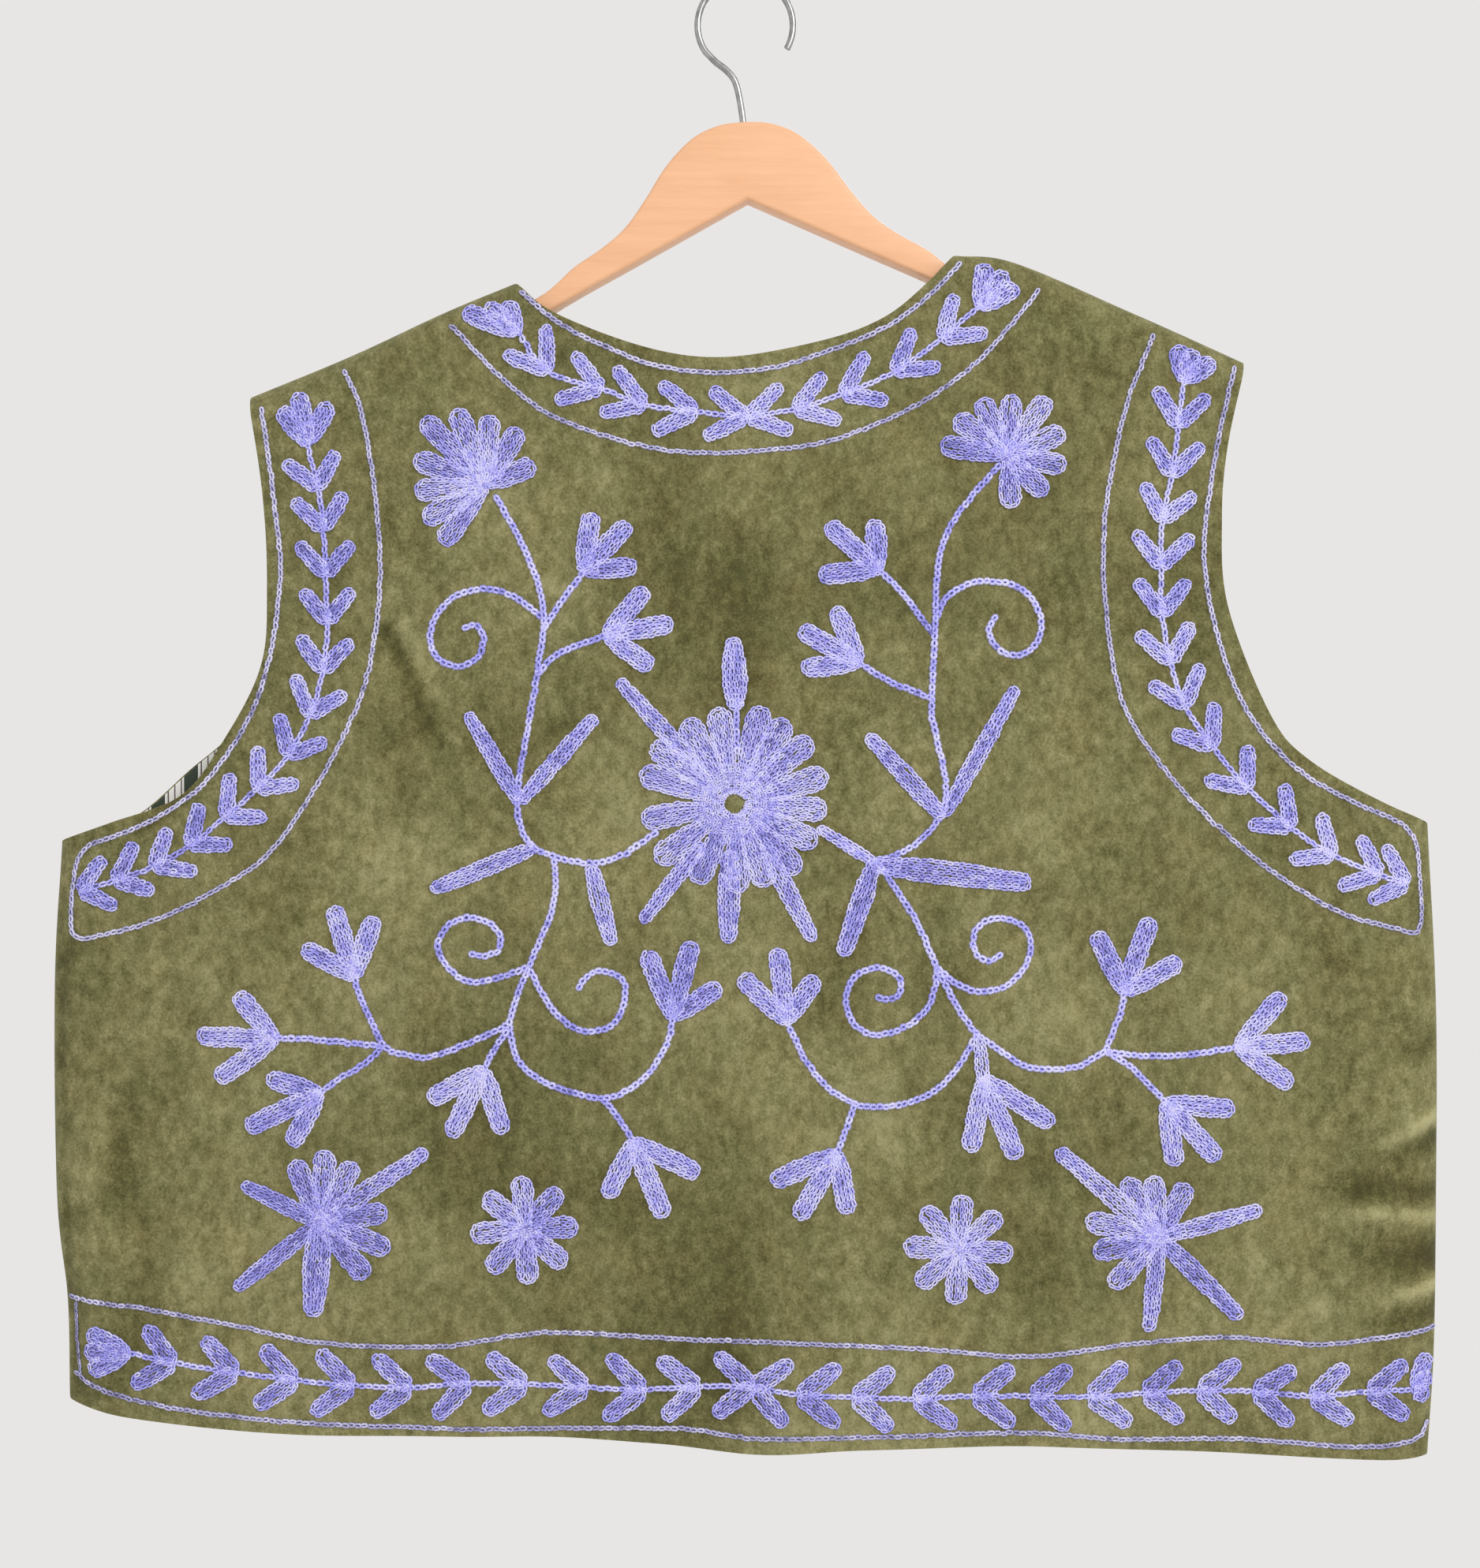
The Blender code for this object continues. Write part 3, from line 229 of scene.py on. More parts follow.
def finish_piece(name, mesh, material, slot, *nodes):
    """Links a piece whose mesh is in metres, on the one body, in place of these nodes of the model."""
    mesh.materials.append(material)
    piece = bpy.data.objects.new(name, mesh)
    scene.collection.objects.link(piece)
    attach(piece, "root")
    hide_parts(*nodes)
    return piece


top_edge = spline_through(HANGER_TOP, HANGER_CURVE_STEPS)
tip_edge = spline_through([HANGER_TOP[-1], *HANGER_TIP, HANGER_UNDERSIDE[0]], HANGER_CURVE_STEPS)
under_edge = spline_through(HANGER_UNDERSIDE, HANGER_CURVE_STEPS)
arm = np.vstack([top_edge, tip_edge[1:-1], under_edge])
outline = np.vstack([arm, arm[-2:0:-1] * (-1, 1)])
tilt = math.radians(HANGER_TILT)
pivot = np.array((HANGER_MIDDLE, HANGER_TOP[0][1]))
from_pivot = outline - (0, pivot[1])
turning = np.array(((math.cos(tilt), math.sin(tilt)), (-math.sin(tilt), math.cos(tilt))))
outline = pivot + from_pivot @ turning

board = bmesh.new()
ring = [board.verts.new((x * MM, -HANGER_THICK / 2 * MM, z * MM)) for x, z in outline]
face = board.faces.new(ring)
pushed = bmesh.ops.extrude_face_region(board, geom=[face])
moved = [item for item in pushed["geom"] if isinstance(item, bmesh.types.BMVert)]
bmesh.ops.translate(board, verts=moved, vec=(0, HANGER_THICK * MM, 0))
bmesh.ops.recalc_face_normals(board, faces=board.faces)
rims = [edge for edge in board.edges if abs(edge.verts[0].co.y - edge.verts[1].co.y) < 0.1 * MM]
bmesh.ops.bevel(board, geom=rims, offset=HANGER_ROUNDING * MM, offset_type="OFFSET",
                segments=ROUNDING_SEGMENTS, profile=0.5, affect="EDGES", clamp_overlap=True, material=-1)
bmesh.ops.triangulate(board, faces=[face for face in board.faces if len(face.verts) > 4])
board_mesh = bpy.data.meshes.new("hanger_board")
board.to_mesh(board_mesh)
board.free()
board_mesh.shade_smooth()
board_mesh.set_sharp_from_angle(angle=SHARP_ANGLE)

beech, beech_tree, beech_shader = new_material("lacquered_beech", 0.42, Coat_Weight=0.15, Coat_Roughness=0.3)
grain_way = object_coordinates(beech_tree, GRAIN_STRETCH, (0, math.radians(-HANGER_TILT), 0))
grain = noise_on(beech_tree, grain_way, 1.6, 5.0, 0.62)
flecks = noise_on(beech_tree, object_coordinates(beech_tree, FLECK_STRETCH), 1.0, 2.0)
figure = sum_of(beech_tree, (grain, 0.75), (flecks, 0.25))
paint_with(beech_tree, beech_shader, figure, BEECH_TINTS)
bump_from(beech_tree, beech_shader, figure, GRAIN_DEPTH)
finish_piece("hanger_board", board_mesh, beech, "wood", "hanger_body")

# ---------------------------------------------------------------- hanger hook
# Zinc-plated steel wire bent to an open hook, its cranked stem screwed into the top of the hanger. The wire
# is one round section throughout, with a plain cut end.

WIRE = 3.2
HOOK_RADIUS = 22.0
HOOK_START_ANGLE = 214
HOOK_END_ANGLE = -29
STEM_DEPTH = 14.0
STEM_POINTS = [(-0.8, -66.2), (-2.3, -56), (-4.6, -46.5), (-8.6, -41.3), (-13.6, -37.4)]
HOOK_FINE_STEP = 3
STEM_CURVE_STEPS = 4
WIRE_ROUNDNESS = 5
ZINC_TINTS = [(0.3, (0.26, 0.265, 0.26)), (0.7, (0.42, 0.425, 0.42))]
ZINC_DEPTH = 0.00004

stem = spline_through(STEM_POINTS, STEM_CURVE_STEPS)
bend_middle = WIRE / 2 - HOOK_RADIUS
bend = [(STEM_POINTS[0][0], STEM_POINTS[0][1] - STEM_DEPTH), *(tuple(point) for point in stem)]
for angle in range(HOOK_START_ANGLE, HOOK_END_ANGLE - 1, -HOOK_FINE_STEP):
    turn = math.radians(angle)
    bend.append((HOOK_RADIUS * math.cos(turn), bend_middle + HOOK_RADIUS * math.sin(turn)))
wire_curve = bpy.data.curves.new("hook_route", "CURVE")
wire_curve.dimensions = "3D"
wire_curve.bevel_depth = WIRE / 2 * MM
wire_curve.bevel_resolution = WIRE_ROUNDNESS
wire_curve.use_fill_caps = True
route = wire_curve.splines.new("POLY")
route.points.add(len(bend) - 1)
for point, (x, z) in zip(route.points, bend):
    point.co = (x * MM, 0, z * MM, 1)
zinc, zinc_tree, zinc_shader = new_material("zinc_plate", 0.3, Metallic=1.0)
zinc_cloud = noise_on(zinc_tree, object_coordinates(zinc_tree), 260.0, 4.0)
paint_with(zinc_tree, zinc_shader, zinc_cloud, ZINC_TINTS)
zinc_dull = math_of(zinc_tree, "ADD", math_of(zinc_tree, "MULTIPLY", zinc_cloud, 0.25), 0.24)
zinc_tree.links.new(zinc_dull, zinc_shader.inputs["Roughness"])
bump_from(zinc_tree, zinc_shader, zinc_cloud, ZINC_DEPTH)
route_holder = bpy.data.objects.new("hook_route", wire_curve)
scene.collection.objects.link(route_holder)
depsgraph = bpy.context.evaluated_depsgraph_get()
hook_mesh = bpy.data.meshes.new_from_object(route_holder.evaluated_get(depsgraph))
bpy.data.objects.remove(route_holder, do_unlink=True)
hook_mesh.shade_smooth()
finish_piece("hanger_hook_wire", hook_mesh, zinc, "steel", "hanger_hook")

# ---------------------------------------------------------------- velvet
# Olive cotton velvet: one back and two fronts, joined at the shoulders and the sides, open at the neck, the
# armholes and down the front. Each panel is cut flat and turns round towards its seams as it hangs.

SEAM_GAP = 0.3
HALF_DEPTH = 11.5
SIDE_TURN = 27.0
SHOULDER_TURN = 12.0
UNDERARM = 0.52
NECK_POINT = 0.27
LEFT_SIDE = [(-312, -653), (-313, -608), (-318, -560), (-319, -463), (-315.5, -397)]
RIGHT_SIDE = [(315, -679), (318, -630), (319, -560), (319, -473), (315, -389)]
BACK_LEFT_ARMHOLE = [(-315.5, -397), (-290, -388.5), (-258, -376), (-238, -350.5), (-221, -316),
                     (-218.5, -280), (-221, -235), (-227.5, -192)]
BACK_RIGHT_ARMHOLE = [(315, -389), (289, -378), (257, -359.5), (240, -339.5), (220.5, -290), (217.5, -250),
                      (220, -218), (229, -176)]
FRONT_LEFT_ARMHOLE = [(-315.5, -397), (-285, -386), (-259, -364), (-240, -347), (-222, -318), (-214, -280),
                      (-219, -235), (-227.5, -192)]
FRONT_RIGHT_ARMHOLE = [(315, -389), (292, -383), (262, -372), (236, -345), (217, -294), (213, -250),
                       (218, -218), (229, -176)]
LEFT_SHOULDER = [(-227.5, -192), (-182, -173.2), (-139, -153.2), (-106.5, -139.7)]
RIGHT_SHOULDER = [(229, -176), (178, -153), (124, -130), (97, -126.7)]
BACK_NECK = [(-106.5, -139.7), (-88, -155), (-45, -171.4), (-9, -175.7), (34, -168.5), (63, -157.7),
             (83, -141.8), (97, -126.7)]
BACK_HEM = [(-312, -653), (-275, -661.3), (-201, -668), (-98, -668.7), (-43, -672), (5, -676.7), (56, -675),
            (128, -673), (227, -677), (290, -679.5), (315, -679)]
FRONT_LEFT_HEM = [(-312, -653), (-275, -659), (-201, -665), (-98, -666), (-5, -671)]
FRONT_RIGHT_HEM = [(315, -679), (227, -674.5), (128, -670.5), (56, -672), (5, -673)]
LEFT_FRONT_EDGE = [(-5, -671), (-5.5, -500), (-6, -360), (-22, -300), (-60, -235), (-92, -180),
                   (-106.5, -139.7)]
RIGHT_FRONT_EDGE = [(5, -673), (4.5, -500), (4, -352), (18, -292), (54, -226), (84, -170), (97, -126.7)]
VELVET_WALL = 2.0

# Folds as (from_x, from_z, to_x, to_z, width, height), wide and soft first, then narrow creases. Each dies
# out at its first end.
BACK_FOLDS = [
    (-30, -230, -28, -660, 26, -1.3), (95, -330, 70, -670, 30, 1.2), (-150, -340, -110, -560, 28, -1.4),
    (-215, -330, -250, -640, 32, 1.3), (190, -420, 215, -676, 30, -1.4), (262, -505, 312, -520, 16, 1.2),
    (-120, -590, -122, -668, 24, 1.5), (10, -620, 12, -676, 26, 2.0), (150, -600, 152, -674, 26, 1.4),
]
FRONT_FOLDS = [
    (-60, -330, -75, -665, 26, -1.4), (-190, -330, -215, -650, 30, 1.5), (70, -330, 60, -670, 28, 1.4),
    (200, -380, 190, -674, 30, -1.4),
]
BACK_CREASES = [
    (-117, -404, -164, -300, 4.5, -1.6), (-109, -401, -156, -299, 4.0, 1.1),
    (-131, -300, -150, -262, 5.0, -0.8), (-159, -330, -156, -384, 7.0, -1.0),
    (-74, -330, -88, -347, 5.0, -0.9), (-150, -470, -140, -560, 9.0, -0.8),
    (-272, -468, -290, -560, 9.0, -1.2), (-282, -470, -300, -560, 6.0, 0.8),
    (-262, -560, -288, -640, 7.0, -0.7), (284, -541, 316, -523, 3.4, 2.5),
    (278, -549, 317, -534, 6.0, -1.8), (246, -570, 290, -566, 3.8, 1.2), (223, -578, 233, -590, 3.4, 1.3),
    (262, -566, 317, -569, 3.3, 2.4), (256, -556, 317, -557, 6.5, -1.6), (258, -590, 317, -587, 8.0, -1.9),
    (252, -603, 264, -612, 3.6, 1.2), (276, -611, 317, -600, 3.4, 2.6), (276, -623, 317, -612, 5.5, -1.7),
    (258, -553, 284, -556, 5.0, -0.9), (278, -506, 316, -487, 5.0, -0.9), (255, -428, 268, -452, 4.0, -0.8),
    (-313, -400, -314, -500, 2.2, -0.9), (-314, -490, -310, -600, 2.2, -0.9),
    (-310, -580, -306, -650, 2.4, -1.1), (-303, -585, -296, -640, 3.0, 0.8),
    (-296, -440, -315, -452, 4.0, -0.9), (-292, -505, -315, -498, 4.5, -1.0),
    (-290, -560, -315, -571, 5.0, -1.0), (-288, -612, -312, -604, 4.0, -0.9),
    (-230, -350, -276, -393, 4.0, -1.0), (-60, -287, -92, -279, 3.5, 0.9), (-2, -236, -3, -330, 11.0, -0.8),
    (-4, -500, -8, -650, 12.0, -0.7), (58, -440, 66, -540, 10.0, 0.7),
]
FRONT_CREASES = [
    (-120, -392, -166, -300, 5.0, -1.2), (118, -398, 172, -310, 5.0, -1.2),
    (-268, -566, -311, -571, 5.0, -1.0), (262, -560, 312, -566, 5.0, -1.1),
    (276, -603, 314, -592, 4.5, 1.0), (-272, -500, -310, -488, 5.0, 0.9), (-70, -300, -96, -372, 8.0, -0.9),
    (64, -320, 92, -402, 8.0, 0.8), (-150, -520, -158, -640, 10.0, -0.8), (150, -500, 140, -640, 10.0, -0.8),
]
WIDEST_CREASE = 15.0
SOFT_FOLD_SHADE = 0.35
# Painted light and shade of the drape and of the brushed pile's sheen: strokes along which the velvet is
# drawn lighter, as brushed up and lit, or darker, as brushed down and shaded, as (from_x, from_z, to_x, to_z,
# width, strength).
BRUSHED_UP_AND_LIT = [
    (-150, -340, -154, -400, 45, 0.65), (-80, -330, -62, -380, 42, 0.5), (-60, -560, -58, -430, 30, 0.45),
    (146, -470, 148, -360, 36, 0.35), (215, -520, 240, -672, 42, 0.75), (-175, -520, -210, -570, 35, 0.3),
    (-150, -630, -158, -672, 34, 0.6), (120, -650, 160, -666, 30, 0.55), (-230, -650, -215, -668, 30, 0.5),
]
BRUSHED_DOWN_AND_SHADED = [
    (176, -340, 178, -270, 40, -0.7), (178, -240, 176, -190, 34, -0.4), (128, -480, 118, -590, 38, -0.5),
    (316, -500, 316, -590, 22, -0.35), (-140, -590, -135, -645, 30, -0.4),
    (-225, -360, -223, -450, 30, -0.45), (0, -200, -4, -260, 48, -0.6), (45, -380, 60, -440, 40, -0.3),
]
RIPPLE_WAVES = 7
RIPPLE_RATES = (0.02, 0.09)
RIPPLE_START = 6.28
RIPPLE_HEIGHT = 0.16
ON_SEAM = 0.05
TINY = 1e-6


def walk(edge, shares):
    """Points at these shares of the way along an edge, given as paths with the share where each stops."""
    points = np.empty((len(shares), 2))
    low = 0.0
    for high, path in edge:
        runs = np.hypot(*np.diff(path, axis=0).T)
        reach = np.concatenate([[0], np.cumsum(runs)])
        wanted = np.clip((shares - low) / (high - low), 0, 1) * reach[-1]
        here = (shares >= low) & (shares <= high + TINY)
        for axis in (0, 1):
            points[here, axis] = np.interp(wanted[here], reach, path[:, axis])
        low = high
    return points


def stretch_between(u, v, left, right, hem, top):
    """Points of a surface stretched between four edges, at the shares u across and v up."""
    u, v = u[:, None], v[:, None]
    ends = np.array([0.0, 1.0])
    low_left, low_right = walk(hem, ends)
    high_left, high_right = walk(top, ends)
    across = (1 - u) * walk(left, v[:, 0]) + u * walk(right, v[:, 0])
    upward = (1 - v) * walk(hem, u[:, 0]) + v * walk(top, u[:, 0])
    low = (1 - u) * low_left + u * low_right
    high = (1 - u) * high_left + u * high_right
    return across + upward - (1 - v) * low - v * high


def nearest_on_seams(points, seams):
    """How far round its turn each point is, 0 at a seam and 1 on the flat, with the way in and the turn."""
    share = np.ones(len(points))
    way = np.zeros((len(points), 2))
    turn_here = np.ones(len(points))
    for path, turn, side in seams:
        for start, stop in zip(path, path[1:]):
            run = stop - start
            t = np.clip((points - start) @ run / (run @ run), 0, 1)[:, None]
            offset = points - start - t * run
            far = np.hypot(*offset.T)
            across = np.array((-run[1], run[0])) * side / np.hypot(*run)
            unit = np.where(far[:, None] > ON_SEAM, offset / np.maximum(far, TINY)[:, None], across)
            nearer = far / turn < share
            share[nearer] = far[nearer] / turn
            way[nearer] = unit[nearer]
            turn_here[nearer] = turn
    return share, way, turn_here


def folded(points, folds):
    """Height that a table of folds adds at each point."""
    height = np.zeros(len(points))
    for from_x, from_z, to_x, to_z, width, fold_height in folds:
        start, run = np.array((from_x, from_z)), np.array((to_x - from_x, to_z - from_z))
        t = np.clip((points - start) @ run / (run @ run), 0, 1)
        away = np.hypot(*(points - start - t[:, None] * run).T) / width
        height += fold_height * np.exp(-away ** 2) * t * t * (3 - 2 * t)
    return height


ripple_dice = np.random.default_rng(7)
RIPPLES = [(ripple_dice.uniform(*RIPPLE_RATES, 2) * ripple_dice.choice([-1, 1], 2),
            ripple_dice.uniform(0, RIPPLE_START)) for _ in range(RIPPLE_WAVES)]


def swell_of(points, folds):
    """Half the thickness of the hanging garment at each point, with its folds and the cloth's fine ripple."""
    ripple = sum(np.sin(points @ wave + start) for wave, start in RIPPLES)
    return HALF_DEPTH + folded(points, folds) + RIPPLE_HEIGHT * ripple


def hang(points, facing, seams, folds, depth_in=0.0):
    """Places of a panel's flat points in space, this far in from the face of the cloth."""
    share, way, turn = nearest_on_seams(points, seams)
    depth = swell_of(points, folds)
    rise = 1 - share
    level = np.sqrt(np.maximum(0.0, 1 - rise * rise))
    slope = np.hypot(rise / turn, level / depth)
    shift = way * (depth_in * rise / turn / slope)[:, None]
    y = SEAM_GAP / 2 + (depth - SEAM_GAP / 2) * level - depth_in * (level / depth / slope)
    return np.column_stack([points[:, 0] + shift[:, 0], facing * y, points[:, 1] + shift[:, 1]])


EDGE_CURVE_STEPS = 12
side_left, side_right = (spline_through(edge, EDGE_CURVE_STEPS) for edge in (LEFT_SIDE, RIGHT_SIDE))
shoulder_left, shoulder_right = (spline_through(edge, EDGE_CURVE_STEPS)
                                 for edge in (LEFT_SHOULDER, RIGHT_SHOULDER))
LEFT_SEAMS = [(side_left, SIDE_TURN, -1), (shoulder_left, SHOULDER_TURN, -1)]
RIGHT_SEAMS = [(side_right, SIDE_TURN, 1), (shoulder_right, SHOULDER_TURN, 1)]
BACK_EDGES = (
    [(UNDERARM, side_left), (1, spline_through(BACK_LEFT_ARMHOLE, EDGE_CURVE_STEPS))],
    [(UNDERARM, side_right), (1, spline_through(BACK_RIGHT_ARMHOLE, EDGE_CURVE_STEPS))],
    [(1, spline_through(BACK_HEM, EDGE_CURVE_STEPS))],
    [(NECK_POINT, shoulder_left), (1 - NECK_POINT, spline_through(BACK_NECK, EDGE_CURVE_STEPS)),
     (1, shoulder_right[::-1])],
)
FRONT_LEFT_EDGES = (
    [(UNDERARM, side_left), (1, spline_through(FRONT_LEFT_ARMHOLE, EDGE_CURVE_STEPS))],
    [(1, spline_through(LEFT_FRONT_EDGE, EDGE_CURVE_STEPS))],
    [(1, spline_through(FRONT_LEFT_HEM, EDGE_CURVE_STEPS))],
    [(1, shoulder_left)],
)
FRONT_RIGHT_EDGES = (
    [(1, spline_through(RIGHT_FRONT_EDGE, EDGE_CURVE_STEPS))],
    [(UNDERARM, side_right), (1, spline_through(FRONT_RIGHT_ARMHOLE, EDGE_CURVE_STEPS))],
    [(1, spline_through(FRONT_RIGHT_HEM, EDGE_CURVE_STEPS)[::-1])],
    [(1, shoulder_right[::-1])],
)
PANELS = {
    "back": (-1, BACK_EDGES, LEFT_SEAMS + RIGHT_SEAMS, BACK_FOLDS + BACK_CREASES),
    "front_left": (1, FRONT_LEFT_EDGES, LEFT_SEAMS, FRONT_FOLDS + FRONT_CREASES),
    "front_right": (1, FRONT_RIGHT_EDGES, RIGHT_SEAMS, FRONT_FOLDS + FRONT_CREASES),
}
# Columns and rows of each panel, as counts between the shares where its edges have corners.
SIDE_SHARE = SIDE_TURN / (RIGHT_SIDE[0][0] - LEFT_SIDE[0][0])
PANEL_COLUMNS = {
    "back": [(0, 18), (SIDE_SHARE, 56), (NECK_POINT, 84), (1 - NECK_POINT, 56), (1 - SIDE_SHARE, 18), (1, 0)],
    "front_left": [(0, 14), (2 * SIDE_SHARE, 72), (1, 0)],
    "front_right": [(0, 72), (1 - 2 * SIDE_SHARE, 14), (1, 0)],
}
SHOULDER_SHARE = 0.975
PANEL_ROWS = [(0, 102), (UNDERARM, 78), (SHOULDER_SHARE, 9), (1, 0)]


def shares_of(counts, fineness):
    """Shares at which a panel is divided, from counts between its corners."""
    parts = [np.linspace(low, high, max(2, round(count * fineness)), endpoint=False)
             for (low, count), (high, _) in zip(counts, counts[1:])]
    return np.concatenate([*parts, [1.0]])


def cloth_sheet(name, panel, depth_in, fineness, set_back=0.0):
    """One sheet of a panel as a mesh in metres: a flat grid hung from the panel's edges. Its free edges may
    be set back from the panel's."""
    facing, edges, seams, folds = PANELS[panel]
    columns, rows = shares_of(PANEL_COLUMNS[panel], fineness), shares_of(PANEL_ROWS, fineness)
    sheet = bmesh.new()
    flat_way = sheet.loops.layers.uv.new("cloth")
    bmesh.ops.create_grid(sheet, x_segments=len(columns) - 1, y_segments=len(rows) - 1, size=1.0)
    grid = np.array([vertex.co for vertex in sheet.verts])
    u = columns[np.rint((grid[:, 0] + 1) / 2 * (len(columns) - 1)).astype(int)]
    v = rows[np.rint((grid[:, 1] + 1) / 2 * (len(rows) - 1)).astype(int)]
    flat = stretch_between(u, v, *edges)
    inner = stretch_between(np.clip(u, *columns[[1, -2]]), np.clip(v, *rows[[1, -2]]), *edges) - flat
    far = np.hypot(*inner.T)
    from_seam, _, _ = nearest_on_seams(flat, seams)
    flat = flat + inner * (set_back * from_seam * (far > 0) / np.maximum(far, TINY))[:, None]
    placed = hang(flat, facing, seams, folds, depth_in) * MM
    for vertex, place in zip(sheet.verts, placed):
        vertex.co = place
    for part in sheet.faces:
        for loop in part.loops:
            loop[flat_way].uv = flat[loop.vert.index] * MM
    mesh = bpy.data.meshes.new(name)
    sheet.to_mesh(mesh)
    sheet.free()
    # Painted shade in the troughs of folds and creases and painted light on their ridges, most on the narrow
    # creases; on the back also the painted bands of light and shade.
    narrow = [fold for fold in folds if fold[4] < WIDEST_CREASE]
    painted_shading = SOFT_FOLD_SHADE * folded(flat, folds) + (1 - SOFT_FOLD_SHADE) * folded(flat, narrow)
    if panel == "back":
        painted_shading += folded(flat, BRUSHED_UP_AND_LIT + BRUSHED_DOWN_AND_SHADED)
    mesh.attributes.new("painted_shading", "FLOAT", "POINT").data.foreach_set("value", painted_shading.astype(np.float32))
    if facing > 0:
        mesh.flip_normals()
    mesh.shade_smooth()
    return mesh


RIM_SEGMENTS = 2
RIM_ANGLE = math.radians(60)


def thicken(piece, wall, rounding):
    """Gives a sheet its thickness on the inner side, and rounds the rim."""
    solid = piece.modifiers.new("thickness", "SOLIDIFY")
    solid.thickness = wall * MM
    solid.offset = -1.0
    rim = piece.modifiers.new("rim", "BEVEL")
    rim.width = rounding * MM
    rim.segments = RIM_SEGMENTS
    rim.limit_method = "ANGLE"
    rim.angle_limit = RIM_ANGLE


def mixed(tree, factor, first, second):
    """Two colours mixed by a linked factor."""
    mix = tree.nodes.new("ShaderNodeMix")
    mix.data_type = "RGBA"
    tree.links.new(factor, mix.inputs[0])
    tree.links.new(first, mix.inputs[6])
    tree.links.new(second, mix.inputs[7])
    return mix.outputs[2]


VELVET_SHEEN = (0.60, 0.62, 0.42, 1.0)
BRUSHED_TURN = (0, math.radians(24), 0)
# Dark to light velvet, for the random mottling of the pile and for the painted shade and light of folds and
# bands, in a browner and in a greener cast.
BROWN_CAST = [(0.32, (0.052, 0.044, 0.015)), (0.41, (0.092, 0.079, 0.026)), (0.50, (0.172, 0.155, 0.062)),
              (0.59, (0.280, 0.254, 0.120)), (0.68, (0.370, 0.340, 0.175))]
GREEN_CAST = [(0.32, (0.044, 0.046, 0.015)), (0.41, (0.080, 0.082, 0.027)), (0.50, (0.156, 0.153, 0.062)),
              (0.59, (0.262, 0.250, 0.121)), (0.68, (0.350, 0.336, 0.176))]
CAST_SHARES = [(0.30, (0.0, 0.0, 0.0)), (0.70, (1.0, 1.0, 1.0))]
PILE_DEPTH = 0.0005

velvet, velvet_tree, velvet_shader = new_material(
    "olive_velvet", 0.85, Sheen_Weight=0.35, Sheen_Roughness=0.45, Sheen_Tint=VELVET_SHEEN,
    Specular_IOR_Level=0.15)
brushed_way = object_coordinates(velvet_tree, (1.0, 1.0, 0.75), BRUSHED_TURN)
clouds = noise_on(velvet_tree, brushed_way, 11.0, 3.0)
patches = noise_on(velvet_tree, object_coordinates(velvet_tree, (1.0, 1.0, 0.8)), 44.0, 9.0, 0.62)
strokes = noise_on(velvet_tree, brushed_way, 190.0, 6.0, 0.66)
pile = noise_on(velvet_tree, object_coordinates(velvet_tree), 900.0, 3.0, 0.7)
painted_shading = velvet_tree.nodes.new("ShaderNodeAttribute")
painted_shading.attribute_name = "painted_shading"
# The pile's random mottling, plus the painted shade and light of the folds and bands from the vertex
# attribute.
nap_and_painted_shading = sum_of(velvet_tree, (clouds, 0.19), (patches, 0.17), (strokes, 0.34), (pile, 0.30),
             (painted_shading.outputs["Fac"], 0.075))
brown_cast = ramp_of(velvet_tree, nap_and_painted_shading, BROWN_CAST)
green_cast = ramp_of(velvet_tree, nap_and_painted_shading, GREEN_CAST)
cast_of_pile = ramp_of(velvet_tree, noise_on(velvet_tree, brushed_way, 55.0, 5.0, 0.6), CAST_SHARES)
velvet_colour = mixed(velvet_tree, cast_of_pile, brown_cast, green_cast)
velvet_tree.links.new(velvet_colour, velvet_shader.inputs["Base Color"])
bump_from(velvet_tree, velvet_shader, sum_of(velvet_tree, (pile, 1.0), (strokes, 2.0)), PILE_DEPTH, 0.7)

VELVET_ROUNDING = 0.7
PANEL_FINENESS = {"back": 1.0, "front_left": 0.7, "front_right": 0.7}
# The flat size and the area of each panel's cut, in metres.
PANEL_CUTS = {
    "back": ((0.66, 0.56), 0.288),
    "front_left": ((0.33, 0.54), 0.129),
    "front_right": ((0.33, 0.56), 0.137),
}
for panel, (flat, area) in PANEL_CUTS.items():
    cloth = cloth_sheet("velvet_" + panel, panel, 0.0, PANEL_FINENESS[panel])
    piece = finish_piece("velvet_" + panel, cloth, velvet, "velvet", panel)
    thicken(piece, VELVET_WALL, VELVET_ROUNDING)

# ---------------------------------------------------------------- lining
# Striped cotton, woven in dark green with groups of white and purple-brown stripes down its length. It is
# cut like the velvet, sewn to it round every edge, and shows inside the armholes, the neck and the hem.

LINING_WALL = 1.0
LINING_GAP = 0.7
LINING_ROUNDING = 0.3
LINING_FINENESS = 0.42
LINING_SET_BACK = 1.6
STRIPE_REPEAT = 15.3
STRIPE_TURN = (0, math.radians(7), 0)
STRIPE_GREEN = (0.030, 0.045, 0.028)
STRIPE_WHITE = (0.78, 0.79, 0.74)
STRIPE_PURPLE = (0.10, 0.055, 0.075)
STRIPES = [(0.00, STRIPE_GREEN), (0.42, STRIPE_WHITE), (0.50, STRIPE_PURPLE), (0.54, STRIPE_WHITE),
           (0.70, STRIPE_PURPLE), (0.74, STRIPE_WHITE), (0.90, STRIPE_PURPLE), (0.94, STRIPE_WHITE),
           (1.00, STRIPE_GREEN)]
THREAD_FINENESS = 420.0
THREAD_WANDER = 0.6
THREAD_DEPTH = 0.00012

